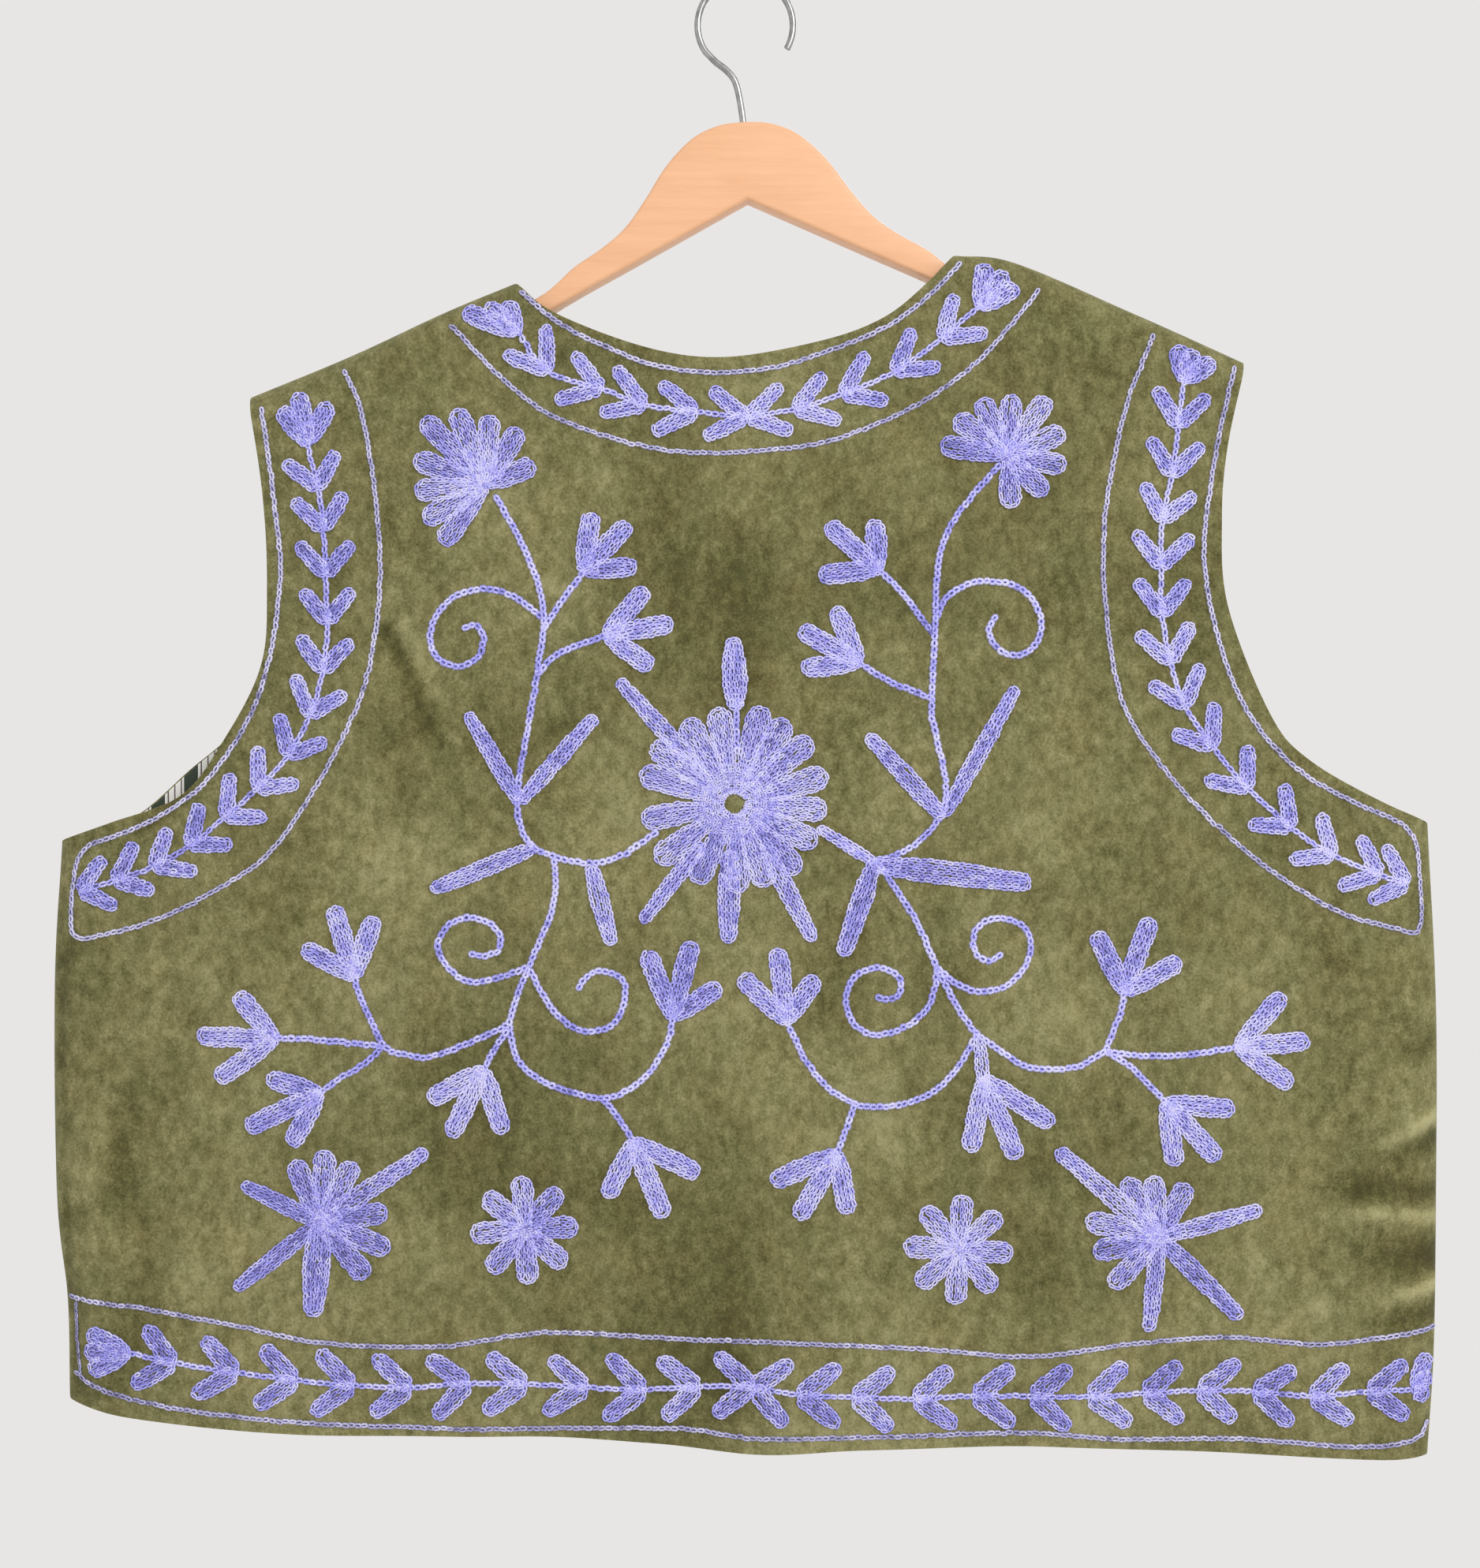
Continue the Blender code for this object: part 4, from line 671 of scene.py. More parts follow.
lining, lining_tree, lining_shader = new_material("striped_lining", 0.8, Sheen_Weight=0.15)
stripe_parts = lining_tree.nodes.new("ShaderNodeSeparateXYZ")
lining_tree.links.new(object_coordinates(lining_tree, (1 / (STRIPE_REPEAT * MM), 1.0, 1.0), STRIPE_TURN),
                      stripe_parts.inputs["Vector"])
repeat = math_of(lining_tree, "FRACT", stripe_parts.outputs["X"], 0.0)
paint_with(lining_tree, lining_shader, repeat, STRIPES, "CONSTANT")
threads = lining_tree.nodes.new("ShaderNodeTexWave")
threads.bands_direction = "Z"
threads.inputs["Scale"].default_value = THREAD_FINENESS
threads.inputs["Distortion"].default_value = THREAD_WANDER
lining_tree.links.new(object_coordinates(lining_tree), threads.inputs["Vector"])
bump_from(lining_tree, lining_shader, threads.outputs["Fac"], THREAD_DEPTH, 0.5)

for panel, (flat, area) in PANEL_CUTS.items():
    cloth = cloth_sheet("lining_cloth_" + panel, panel, VELVET_WALL + LINING_GAP, LINING_FINENESS,
                        LINING_SET_BACK)
    piece = finish_piece("lining_cloth_" + panel, cloth, lining, "lining", "lining_" + panel)
    thicken(piece, LINING_WALL, LINING_ROUNDING)

# ---------------------------------------------------------------- ruled lines of chain stitch
# Thick soft wool worked through the velvet with a hooked needle: every stitch is a loop that holds the next
# one, so a row is a chain. One row rules each edge of the borders.

STITCH = 3.6
CHART_TOP = -12.96
# One link is a closed loop of yarn round an open hole, narrower at its back end and raised at its front,
# where it holds the next. The spreads are how much links worked by hand differ.
LINK_SIDES = 3
LINK_STEPS = 7
LINK_RING = 4.0
HOLE = 0.19
YARN_FLATNESS = 0.65
LINK_OVERLAP = 1.30
LINK_TAPER = 0.18
LINK_RISE = 0.22
PLACE_SPREAD = 0.15
LEAN_SPREAD = 0.13
SIZE_SPREAD = 0.07
LIFT_SPREAD = 0.05
TONE_SPREAD = 0.11
# Painted highlight along the top of each link's yarn, and painted shade on the inner side of the loop towards
# its hole against painted light on its outer side.
PAINTED_TOP_HIGHLIGHT = 0.22
PAINTED_HOLE_SHADE = 0.20
WAY_STEP = 0.6
SLOPE_STEP = 0.8
STEEPEST = 1.6
wool_dice = np.random.default_rng(11)

link_shape = bmesh.new()
bmesh.ops.create_circle(link_shape, segments=LINK_SIDES, radius=1.0, cap_ends=False)
bmesh.ops.rotate(link_shape, verts=link_shape.verts, cent=(0, 0, 0),
                 matrix=Matrix.Rotation(math.radians(90), 3, "X"))
bmesh.ops.translate(link_shape, verts=link_shape.verts, vec=(LINK_RING, 0, 0))
bmesh.ops.spin(link_shape, geom=link_shape.verts[:] + link_shape.edges[:], cent=(0, 0, 0), axis=(0, 0, 1),
               angle=2 * math.pi, steps=LINK_STEPS, use_merge=True)
bmesh.ops.recalc_face_normals(link_shape, faces=link_shape.faces)
link_points = np.array([vertex.co for vertex in link_shape.verts])
link_shape.verts.index_update()
link_faces = np.array([[vertex.index for vertex in part.verts] for part in link_shape.faces])
link_shape.free()
# Of each point of a link: its angle round the loop, and how far out and up on the yarn it is.
LINK_ROUND = np.arctan2(link_points[:, 1], link_points[:, 0])
LINK_OUT = (np.hypot(link_points[:, 0], link_points[:, 1]) - LINK_RING) / math.cos(math.pi / 6)
LINK_UP = link_points[:, 2] * YARN_FLATNESS


def chart(points):
    """Chart points in stitches, as millimetres across and up."""
    return np.array(points, float) * (STITCH, -STITCH) + (0, CHART_TOP)


def spaced(path, pitch):
    """Middles and ways of links that fill a path, this far apart."""
    runs = np.hypot(*np.diff(path, axis=0).T)
    reach = np.concatenate([[0], np.cumsum(runs)])
    count = max(1, round(reach[-1] / pitch))
    wanted = (np.arange(count) + 0.5) * reach[-1] / count
    middles, ahead, behind = (np.column_stack([np.interp(along, reach, path[:, axis]) for axis in (0, 1)])
                              for along in (wanted, wanted + WAY_STEP, wanted - WAY_STEP))
    ways = ahead - behind
    return middles, ways / np.hypot(*ways.T)[:, None], reach[-1] / count


def face_of_back(points):
    """The back's face at these flat points, its outward normal and its slopes."""
    _, _, seams, folds = PANELS["back"]
    place = hang(points, -1, seams, folds)
    slopes = []
    for nudge in ((SLOPE_STEP, 0), (0, SLOPE_STEP)):
        beyond, before = (hang(points + side * np.array(nudge), -1, seams, folds)[:, 1] for side in (1, -1))
        slopes.append(np.clip((beyond - before) / (2 * SLOPE_STEP), -STEEPEST, STEEPEST))
    normal = np.column_stack([slopes[0], -np.ones(len(points)), slopes[1]])
    return place, normal / np.linalg.norm(normal, axis=1)[:, None], slopes


def work_chain(rows):
    """Every link of these rows of chain as points and tones. A row is (path, pitch, width, lift, tone)."""
    middles, ways, sizes = [], [], []
    for path, pitch, width, lift, tone in rows:
        places, directions, step = spaced(path, pitch)
        middles.append(places)
        ways.append(directions)
        sizes.append(np.tile((step, width, lift, tone), (len(places), 1)))
    middles, ways = np.vstack(middles), np.vstack(ways)
    step, width, lift, tone = (column[:, None] for column in np.vstack(sizes).T)
    count = len(middles)
    middles = middles + wool_dice.normal(0, PLACE_SPREAD, (count, 2))
    lean = wool_dice.normal(0, LEAN_SPREAD, count)
    ways = np.column_stack([ways[:, 0] * np.cos(lean) - ways[:, 1] * np.sin(lean),
                            ways[:, 0] * np.sin(lean) + ways[:, 1] * np.cos(lean)])
    across = np.column_stack([-ways[:, 1], ways[:, 0]])
    yarn = (width / 2 - HOLE) / 2
    half_long = (step * LINK_OVERLAP / 2 - yarn / 2) * wool_dice.normal(1, SIZE_SPREAD, (count, 1))
    half_wide = (width / 2 - yarn) * wool_dice.normal(1, SIZE_SPREAD, (count, 1))
    taper = 1 - LINK_TAPER + LINK_TAPER * np.cos(LINK_ROUND)
    run = np.cos(LINK_ROUND) * half_long + yarn * LINK_OUT * np.cos(LINK_ROUND)
    aside = np.sin(LINK_ROUND) * taper * half_wide + yarn * LINK_OUT * np.sin(LINK_ROUND)
    up = lift + yarn * LINK_UP + LINK_RISE * np.cos(LINK_ROUND) + wool_dice.normal(0, LIFT_SPREAD, (count, 1))
    place, normal, slopes = face_of_back(middles)
    x = ways[:, :1] * run + across[:, :1] * aside
    z = ways[:, 1:] * run + across[:, 1:] * aside
    y = slopes[0][:, None] * x + slopes[1][:, None] * z
    points = place[:, None, :] + np.stack([x, y, z], axis=2) + normal[:, None, :] * up[:, :, None]
    tones = tone + wool_dice.normal(0, TONE_SPREAD, (count, 1))
    # Each link's tone with its painted highlight on top and painted shade towards its hole.
    tones = tones + PAINTED_TOP_HIGHLIGHT * LINK_UP + PAINTED_HOLE_SHADE * LINK_OUT
    return points.reshape(-1, 3), tones.reshape(-1)


def chain_piece(name, rows, material, node, tone_shift=0.0):
    """One motif's rows of chain as a finished piece, in place of its node, its tones shifted lighter or
    darker.
    """
    points, tones = work_chain(rows)
    tones += tone_shift
    links = len(points) // len(link_points)
    faces = (link_faces[None] + (np.arange(links) * len(link_points))[:, None, None]).reshape(-1, 4)
    mesh = bpy.data.meshes.new(name)
    mesh.from_pydata(points * MM, [], faces)
    mesh.attributes.new("tone", "FLOAT", "POINT").data.foreach_set("value", tones.astype(np.float32))
    mesh.shade_smooth()
    finish_piece(name, mesh, material, "wool", node)


WOOL_SHEEN = (0.74, 0.73, 1.0, 1.0)
FUZZ_WEIGHT = 1.7
PATCH_WEIGHT = 0.6


def wool_material(name, stops, fuzz_depth):
    """Fuzzy wool yarn whose colour follows each link's tone."""
    wool, tree, shader = new_material(name, 0.9, Sheen_Weight=0.45, Sheen_Roughness=0.6,
                                      Sheen_Tint=WOOL_SHEEN, Specular_IOR_Level=0.12)
    tone = tree.nodes.new("ShaderNodeAttribute")
    tone.attribute_name = "tone"
    fuzz = noise_on(tree, object_coordinates(tree), 1250.0, 4.0, 0.7)
    patchy = noise_on(tree, object_coordinates(tree), 30.0, 2.0)
    shade = tone.outputs["Fac"]
    for layer, weight in ((fuzz, FUZZ_WEIGHT), (patchy, PATCH_WEIGHT)):
        swing = math_of(tree, "MULTIPLY", math_of(tree, "SUBTRACT", layer, 0.5), weight)
        shade = math_of(tree, "ADD", shade, swing)
    paint_with(tree, shader, shade, stops)
    bump_from(tree, shader, fuzz, fuzz_depth, 0.8)
    return wool


PALE_TINTS = [(0.05, (0.16, 0.152, 0.28)), (0.40, (0.40, 0.386, 0.66)), (0.78, (0.74, 0.72, 0.92))]
pale_wool = wool_material("pale_lilac_wool", PALE_TINTS, 0.0004)

RULED_LINES = {
    "neck_line_inner": [
        (-28.6, 36.9), (-23.7, 40.9), (-17.5, 44.0), (-11.9, 46.2), (-5.0, 47.2), (2.9, 46.7), (10.5, 44.5),
        (18.2, 41.2), (23.3, 37.4), (27.4, 33.2),
    ],
    "neck_line_outer": [
        (-37.3, 41.2), (-34.0, 44.8), (-30.3, 48.5), (-25.2, 52.3), (-18.0, 55.2), (-9.0, 57.2),
        (0.3, 57.2), (10.5, 55.9), (20.7, 51.9), (28.4, 46.7), (33.3, 41.6), (37.2, 36.7),
    ],
    "armhole_line_left": [
        (-51.0, 46.9), (-48.7, 52.2), (-47.0, 62.5), (-46.3, 72.0), (-47.0, 80.5), (-48.8, 88.4),
        (-53.4, 97.9), (-59.8, 107.5), (-66.2, 112.3), (-74.2, 116.4), (-80.5, 118.3), (-85.2, 118.7),
        (-85.5, 112.8), (-84.0, 107.8), (-78.0, 105.3), (-72.6, 102.4), (-68.1, 98.7), (-63.2, 91.6),
        (-60.3, 83.4), (-59.0, 73.0), (-59.7, 64.4), (-60.6, 57.0), (-61.4, 51.7),
    ],
    "armhole_line_right": [
        (51.8, 42.4), (50.3, 45.9), (48.4, 51.0), (46.3, 60.5), (45.4, 68.0), (45.7, 77.0), (47.5, 88.0),
        (51.3, 95.2), (58.0, 103.0), (66.5, 110.3), (75.0, 115.5), (82.0, 117.6), (85.6, 117.9),
        (85.8, 112.0), (84.4, 105.4), (77.5, 101.9), (71.0, 98.3), (65.5, 92.9), (61.5, 85.6), (58.8, 76.0),
        (58.2, 68.0), (59.4, 58.8), (61.0, 50.9), (62.0, 46.6),
    ],
    "hem_line_upper": [
        (-84.0, 165.0), (-74.2, 166.2), (-64.0, 168.2), (-53.8, 170.3), (-38.8, 170.7), (-25.4, 168.9),
        (-10.1, 169.8), (4.0, 170.3), (19.7, 170.8), (35.5, 172.0), (49.3, 170.4), (61.3, 169.6),
        (71.7, 170.5), (79.0, 169.9), (85.8, 169.0),
    ],
    "hem_line_lower": [
        (-81.9, 176.1), (-72.2, 178.6), (-55.9, 180.4), (-39.5, 181.0), (-25.4, 181.1), (-9.0, 181.2),
        (1.4, 182.3), (15.5, 182.2), (35.5, 181.6), (49.3, 182.5), (63.0, 182.6), (77.0, 183.4),
        (85.0, 182.7),
    ],
}
LINE_STITCH = (3.0, 3.0)
LINE_STEPS = 8
LINE_LIFT = 0.5
LINE_TONE = 0.46
HEM_LINE_TONE = 0.34
# The lines of the hem run on to the side seams, to these points at the left and at the right.
HEM_LINE_ENDS = {
    "hem_line_upper": ((-86.2, 164.6), (87.9, 168.6)),
    "hem_line_lower": ((-85.4, 174.3), (87.0, 180.6)),
}
# One thin row of darker yarn runs up the left side seam between them.
SEAM_LINE = [(-85.2, 165.4), (-85.0, 170.0), (-84.6, 174.6)]
SEAM_STITCH = (2.6, 2.1)
SEAM_LINE_TONE = 0.22
for node, points in RULED_LINES.items():
    tone = LINE_TONE
    if node in HEM_LINE_ENDS:
        left_end, right_end = HEM_LINE_ENDS[node]
        points = [left_end, *points, right_end]
        tone = HEM_LINE_TONE
    rows = [(chart(spline_through(points, LINE_STEPS)), *LINE_STITCH, LINE_LIFT, tone)]
    if node == "hem_line_lower":
        rows.append((chart(spline_through(SEAM_LINE, LINE_STEPS)), *SEAM_STITCH, LINE_LIFT, SEAM_LINE_TONE))
    chain_piece(node + "_chain", rows, pale_wool, node)

# ---------------------------------------------------------------- border vines
# Between the ruled lines runs a vine: one row of chain for its stem, a pair of leaves at every joint that
# point back along it, and a tulip at the seam. A leaf is a loop of chain round one more row.

LILAC_TINTS = [(0.08, (0.155, 0.150, 0.47)), (0.40, (0.375, 0.366, 0.98)), (0.76, (0.74, 0.725, 1.0))]
lilac_wool = wool_material("lilac_wool", LILAC_TINTS, 0.0005)
BUD_WIDTH = 2.9
# A vine's leaves have a reach, a width and a spread from the stem. Each run grows from a tulip, given by its
# foot and the tips of its petals, towards the vine's other end.
NECK_VINE = {
    "reach": 6.0,
    "width": 2.35,
    "spread": 33,
    "runs": [
        [(-29.0, 41.8), (-25.2, 47.0), (-18.4, 49.2), (-12.9, 51.3), (-6.4, 52.2), (0.0, 52.9)],
        [(29.8, 38.6), (25.0, 42.8), (19.0, 47.0), (12.4, 49.9), (6.4, 51.8), (0.3, 52.8)],
    ],
    "tulips": [
        ((-29.0, 42.2), [(-36.0, 39.3), (-33.0, 38.5), (-30.3, 38.0)]),
        ((29.8, 38.9), [(30.4, 33.2), (33.0, 34.3), (34.7, 36.2)]),
    ],
}
ARMHOLE_VINE_LEFT = {
    "reach": 5.5,
    "width": 2.35,
    "spread": 40,
    "runs": [
        [(-55.6, 56.0), (-54.3, 61.8), (-53.5, 67.0), (-53.3, 72.8), (-53.0, 78.8), (-53.6, 85.0),
         (-55.2, 90.6), (-57.9, 95.7), (-61.8, 99.9), (-65.9, 103.5), (-70.4, 107.1), (-74.9, 109.8),
         (-79.8, 111.6), (-84.4, 112.9)],
    ],
    "tulips": [((-55.6, 56.2), [(-59.0, 51.6), (-56.7, 49.6), (-52.6, 51.0)])],
}
ARMHOLE_VINE_RIGHT = {
    "reach": 5.6,
    "width": 2.35,
    "spread": 40,
    "runs": [
        [(55.6, 48.0), (54.9, 53.9), (54.1, 60.1), (52.9, 65.9), (52.7, 71.8), (52.8, 77.8), (53.8, 83.8),
         (55.7, 89.4), (59.2, 94.6), (63.6, 99.9), (69.1, 104.8), (74.4, 108.4), (80.2, 110.8),
         (83.8, 112.0)],
    ],
    "tulips": [((55.6, 48.2), [(54.7, 43.6), (56.9, 44.2), (59.6, 45.6)])],
}
HEM_VINE = {
    "reach": 6.2,
    "width": 2.75,
    "spread": 39,
    "runs": [
        [(-78.2, 171.5), (-72.5, 172.7), (-64.7, 174.0), (-57.2, 175.0), (-50.0, 175.7), (-42.7, 175.9),
         (-35.3, 175.3), (-28.1, 175.5), (-20.4, 175.9), (-13.1, 176.3), (-6.2, 175.9), (0.8, 175.8)],
        [(84.6, 176.3), (79.2, 176.4), (72.0, 177.1), (64.8, 176.5), (57.8, 176.4), (50.8, 176.7),
         (43.7, 177.0), (36.5, 177.0), (29.2, 177.0), (21.6, 177.3), (13.9, 177.1), (7.0, 176.8),
         (1.1, 175.9)],
    ],
    "tulips": [
        ((-78.2, 171.5), [(-83.6, 168.9), (-84.0, 171.4), (-83.4, 174.0)]),
        ((85.0, 176.0), [(86.8, 171.8), (87.4, 174.4), (86.9, 177.8)]),
    ],
}
VINE_STITCH = (3.2, 3.5)
VINE_STEPS = 6
VINE_TONE = 0.58
LEAF_STITCH = (2.9, 2.8)
LEAF_LIFT = 0.6
LEAF_TONES = (0.40, 0.56)
TULIP_TONE = 0.45
# The row round a leaf and the rows down its middle: how far each lies above LEAF_LIFT, and how much lighter
# than the leaf it is. The outline's is a painted highlight.
OUTLINE_LIFTS = (0, 0.2)
OUTLINE_HIGHLIGHT = 0.10
MIDDLE_LIFTS = (-0.1, 0.15)
MIDDLE_TONE = -0.06
ROW_SPACING = 2.25
ROW_SLACK = 0.25
LEAST_SPACING = 1.2
# Points along a leaf's side, of which the first few widen, round its tip, round its foot and down its middle.
SIDE_STEPS = 9
WIDENING_STEPS = 4
TIP_STEPS = 9
FOOT_STEPS = 5
MIDDLE_STEPS = 7
# How far a middle row stops short of the outline at the base and at the tip, in widths of its stitch.
BASE_ROOM = 0.3
TIP_ROOM = 0.6
# Half-widths of a bud's petal and of a border leaf, as shares of the widest, at shares of the way from the
# base to the round tip.
BUD_SWELL = ((0.0, 0.66), (0.25, 0.92), (0.7, 1.0), (1.0, 0.94))
BORDER_LEAF_SWELL = ((0.0, 1.0), (0.3, 1.0), (0.7, 0.96), (1.0, 0.86))
REACH_SPREAD = (0.96, 1.03)
TURN_SPREAD = 2.0


def across_of(way):
    """The way at right angles to this one, on its left."""
    return np.array((-way[1], way[0]))


def leaf_rows(base, tip, width, swell, stitch=LEAF_STITCH, tone=0.5):
    """A leaf or petal: one row round its outline and rows down its middle. Lengths in stitches."""
    start, stop = chart([base, tip])
    pitch, thick = stitch
    long = np.hypot(*(stop - start))
    way = (stop - start) / long
    full = (width * STITCH - thick) / 2
    tip_half = full * swell[-1][1]
    turn_at = long - thick / 2 - tip_half
    rise = np.linspace(0, 1, SIDE_STEPS)
    sides = full * np.interp(rise, *zip(*swell))
    foot_half = sides[0]
    along = foot_half + rise * (turn_at - foot_half)
    round_tip = np.linspace(math.pi / 2, -math.pi / 2, TIP_STEPS)[1:-1]
    round_foot = np.linspace(0, math.pi / 2, FOOT_STEPS)[:-1]
    foot_run, foot_aside = foot_half * (1 - np.cos(round_foot)), foot_half * np.sin(round_foot)
    tip_run, tip_aside = turn_at + tip_half * np.cos(round_tip), tip_half * np.sin(round_tip)
    run = np.concatenate([foot_run, along, tip_run, along[::-1], foot_run[::-1]])
    aside = np.concatenate([foot_aside, sides, tip_aside, -sides[::-1], -foot_aside[::-1]])
    outline = start + run[:, None] * way + aside[:, None] * across_of(way)
    lift = LEAF_LIFT + wool_dice.uniform(*OUTLINE_LIFTS)
    rows = [(outline, pitch, thick, lift, tone + OUTLINE_HIGHLIGHT)]
    gaps = max(2, math.ceil(2 * full / ROW_SPACING - ROW_SLACK))
    for number in range(1, gaps):
        spot = 2 * number / gaps - 1
        end = turn_at + tip_half * math.sqrt(1 - spot * spot) - thick * TIP_ROOM
        room = (1 - abs(spot)) * sides[:WIDENING_STEPS]
        begin = foot_half * (1 - math.sqrt(1 - spot * spot)) + thick * BASE_ROOM
        if room[0] < LEAST_SPACING:
            begin = np.interp(LEAST_SPACING, room, along[:WIDENING_STEPS])
        inner_run = np.linspace(begin, end, MIDDLE_STEPS)
        inner_side = spot * np.interp(inner_run, along, sides)
        middle = start + inner_run[:, None] * way + inner_side[:, None] * across_of(way)
        lift = LEAF_LIFT + wool_dice.uniform(*MIDDLE_LIFTS)
        rows.append((middle, pitch, thick, lift, tone + MIDDLE_TONE))
    return rows


def tip_at(hub, angle, length):
    """The chart point this far from a hub, at an angle in degrees."""
    turn = math.radians(angle)
    return (hub[0] + length * math.cos(turn), hub[1] - length * math.sin(turn))


def vine_rows(vine):
    """Every row of a border vine."""
    rows = []
    for run in vine["runs"]:
        rows.append((chart(spline_through(run, VINE_STEPS)), *VINE_STITCH, LINE_LIFT, VINE_TONE))
        for before, foot in zip(run, run[1:]):
            back = math.degrees(math.atan2(foot[1] - before[1], before[0] - foot[0]))
            tone = wool_dice.uniform(*LEAF_TONES)
            for turn in (-vine["spread"], vine["spread"]):
                reach = vine["reach"] * wool_dice.uniform(*REACH_SPREAD)
                tip = tip_at(foot, back + turn + wool_dice.normal(0, TURN_SPREAD), reach)
                rows += leaf_rows(foot, tip, vine["width"], BORDER_LEAF_SWELL, tone=tone)
    for base, tips in vine["tulips"]:
        for tip in tips:
            rows += leaf_rows(base, tip, BUD_WIDTH, BUD_SWELL, tone=TULIP_TONE)
    return rows


# How much lighter or darker than the rest the wool of a motif is.
MOTIF_TONE_SHIFTS = {
    "neck_vine": -0.02,
    "armhole_vine_left": -0.12,
    "armhole_vine_right": -0.03,
    "hem_vine": -0.12,
    "vine_left": -0.05,
    "vine_right": -0.03,
    "corner_flower_left": -0.14,
    "corner_flower_right": -0.09,
    "centre_flower": 0.0,
    "small_flower_left": 0.0,
    "small_flower_right": 0.0,
}
BORDER_VINES = {
    "neck_vine": NECK_VINE,
    "armhole_vine_left": ARMHOLE_VINE_LEFT,
    "armhole_vine_right": ARMHOLE_VINE_RIGHT,
    "hem_vine": HEM_VINE,
}
for node, vine in BORDER_VINES.items():
    chain_piece(node + "_chain", vine_rows(vine), lilac_wool, node, MOTIF_TONE_SHIFTS[node])

# ---------------------------------------------------------------- vines and flowers of the back
# Two climbing vines with curled tendrils and three-lobed buds stand either side of a great flower with an
# open eye. Their petals are each a loop of chain filled with more rows that meet at the hub.

# Of each motif: its stems, its pointed leaves as (base, tip, width), its buds as (foot, tips of the petals)
# and its flowers as (hub, petals), with a petal's angle in degrees and its length.
VINE_LEFT = {
    "stems": [
        [(-31.7, 62.8), (-28.6, 68.5), (-26.3, 74.0), (-25.6, 79.0), (-26.4, 85.0), (-27.4, 91.0),
         (-28.6, 98.0), (-28.9, 103.0), (-27.8, 106.3), (-25.5, 108.2), (-19.5, 109.5), (-15.5, 108.3),
         (-13.5, 107.1)],
        [(-25.6, 79.8), (-23.5, 76.5), (-20.5, 72.5)],
        [(-26.4, 85.6), (-23.8, 82.9), (-17.7, 80.6)],
        [(-25.8, 78.4), (-28.5, 76.2), (-31.0, 75.0), (-33.8, 74.7), (-37.0, 75.7), (-39.3, 78.2),
         (-40.0, 81.0), (-38.9, 83.6), (-36.3, 84.5), (-33.9, 83.2), (-33.2, 80.8), (-34.2, 79.3),
         (-35.8, 79.6)],
        [(-24.3, 108.9), (-24.1, 112.5), (-24.7, 116.0), (-26.0, 119.0), (-27.3, 122.2), (-28.5, 125.0),
         (-29.5, 128.0), (-30.0, 130.0)],
        [(-27.6, 122.6), (-30.5, 123.7), (-34.5, 124.6), (-37.3, 123.2), (-39.0, 120.5), (-38.3, 118.0),
         (-36.0, 116.5), (-33.3, 116.7), (-31.3, 118.2), (-31.3, 120.3), (-33.0, 121.2), (-35.0, 120.9)],
        [(-27.4, 122.9), (-25.5, 126.5), (-23.0, 129.5), (-20.0, 130.8), (-17.0, 130.0), (-15.5, 127.5),
         (-15.3, 125.0), (-16.5, 123.6), (-18.6, 123.2), (-20.3, 124.0), (-21.2, 125.4)],
        [(-30.0, 129.9), (-32.5, 131.1), (-36.0, 132.6), (-40.0, 134.0), (-43.5, 133.7), (-45.9, 132.6),
         (-47.7, 129.0), (-49.0, 126.0), (-49.6, 123.8)],
        [(-46.0, 132.7), (-50.5, 132.2), (-55.0, 131.8), (-59.5, 131.6)],
        [(-46.0, 132.7), (-48.5, 135.0), (-51.5, 136.8), (-54.0, 138.6)],
        [(-30.2, 130.6), (-32.0, 133.3), (-33.3, 135.8)],
        [(-30.0, 129.9), (-29.4, 133.0), (-28.0, 135.5), (-25.5, 137.3), (-22.3, 138.4), (-18.2, 139.3),
         (-14.5, 138.0), (-11.6, 135.2), (-9.8, 131.8), (-9.2, 129.0)],
        [(-18.2, 139.3), (-16.3, 141.6), (-14.2, 144.8)],
        [(-13.5, 107.1), (-11.2, 105.5)],
    ],
    "leaves": [
        ((-28.7, 101.6), (-35.4, 90.2), 2.5), ((-28.5, 101.6), (-18.9, 90.6), 2.5),
        ((-26.6, 107.4), (-40.0, 112.9), 2.6), ((-19.6, 109.7), (-16.9, 120.0), 2.8),
    ],
    "buds": [
        ((-20.6, 72.3), [(-19.5, 64.8), (-14.6, 66.2), (-13.6, 71.8)]),
        ((-17.7, 80.5), [(-12.4, 74.5), (-9.0, 79.0), (-11.7, 84.8)]),
        ((-49.6, 123.8), [(-52.3, 114.7), (-47.0, 116.0), (-56.3, 120.0)]),
        ((-59.6, 131.7), [(-64.6, 125.8), (-69.6, 131.3), (-67.2, 137.0)]),
        ((-54.0, 138.6), [(-60.8, 136.6), (-63.4, 143.1), (-57.7, 145.4)]),
        ((-33.3, 135.7), [(-40.4, 139.6), (-37.6, 144.3), (-30.7, 143.9)]),
        ((-9.3, 129.0), [(-12.6, 120.4), (-6.8, 119.2), (-3.0, 124.9)]),
        ((-14.2, 144.8), [(-17.7, 152.0), (-10.2, 154.6), (-5.7, 149.0)]),
    ],
    "flowers": [
        ((-32.9, 61.6),
         [(24, 6.9), (60, 8.6), (87, 9.2), (111, 10.6), (133, 11.8), (159, 9.9), (184, 9.2), (209, 9.2),
          (233, 9.4)]),
    ],
}
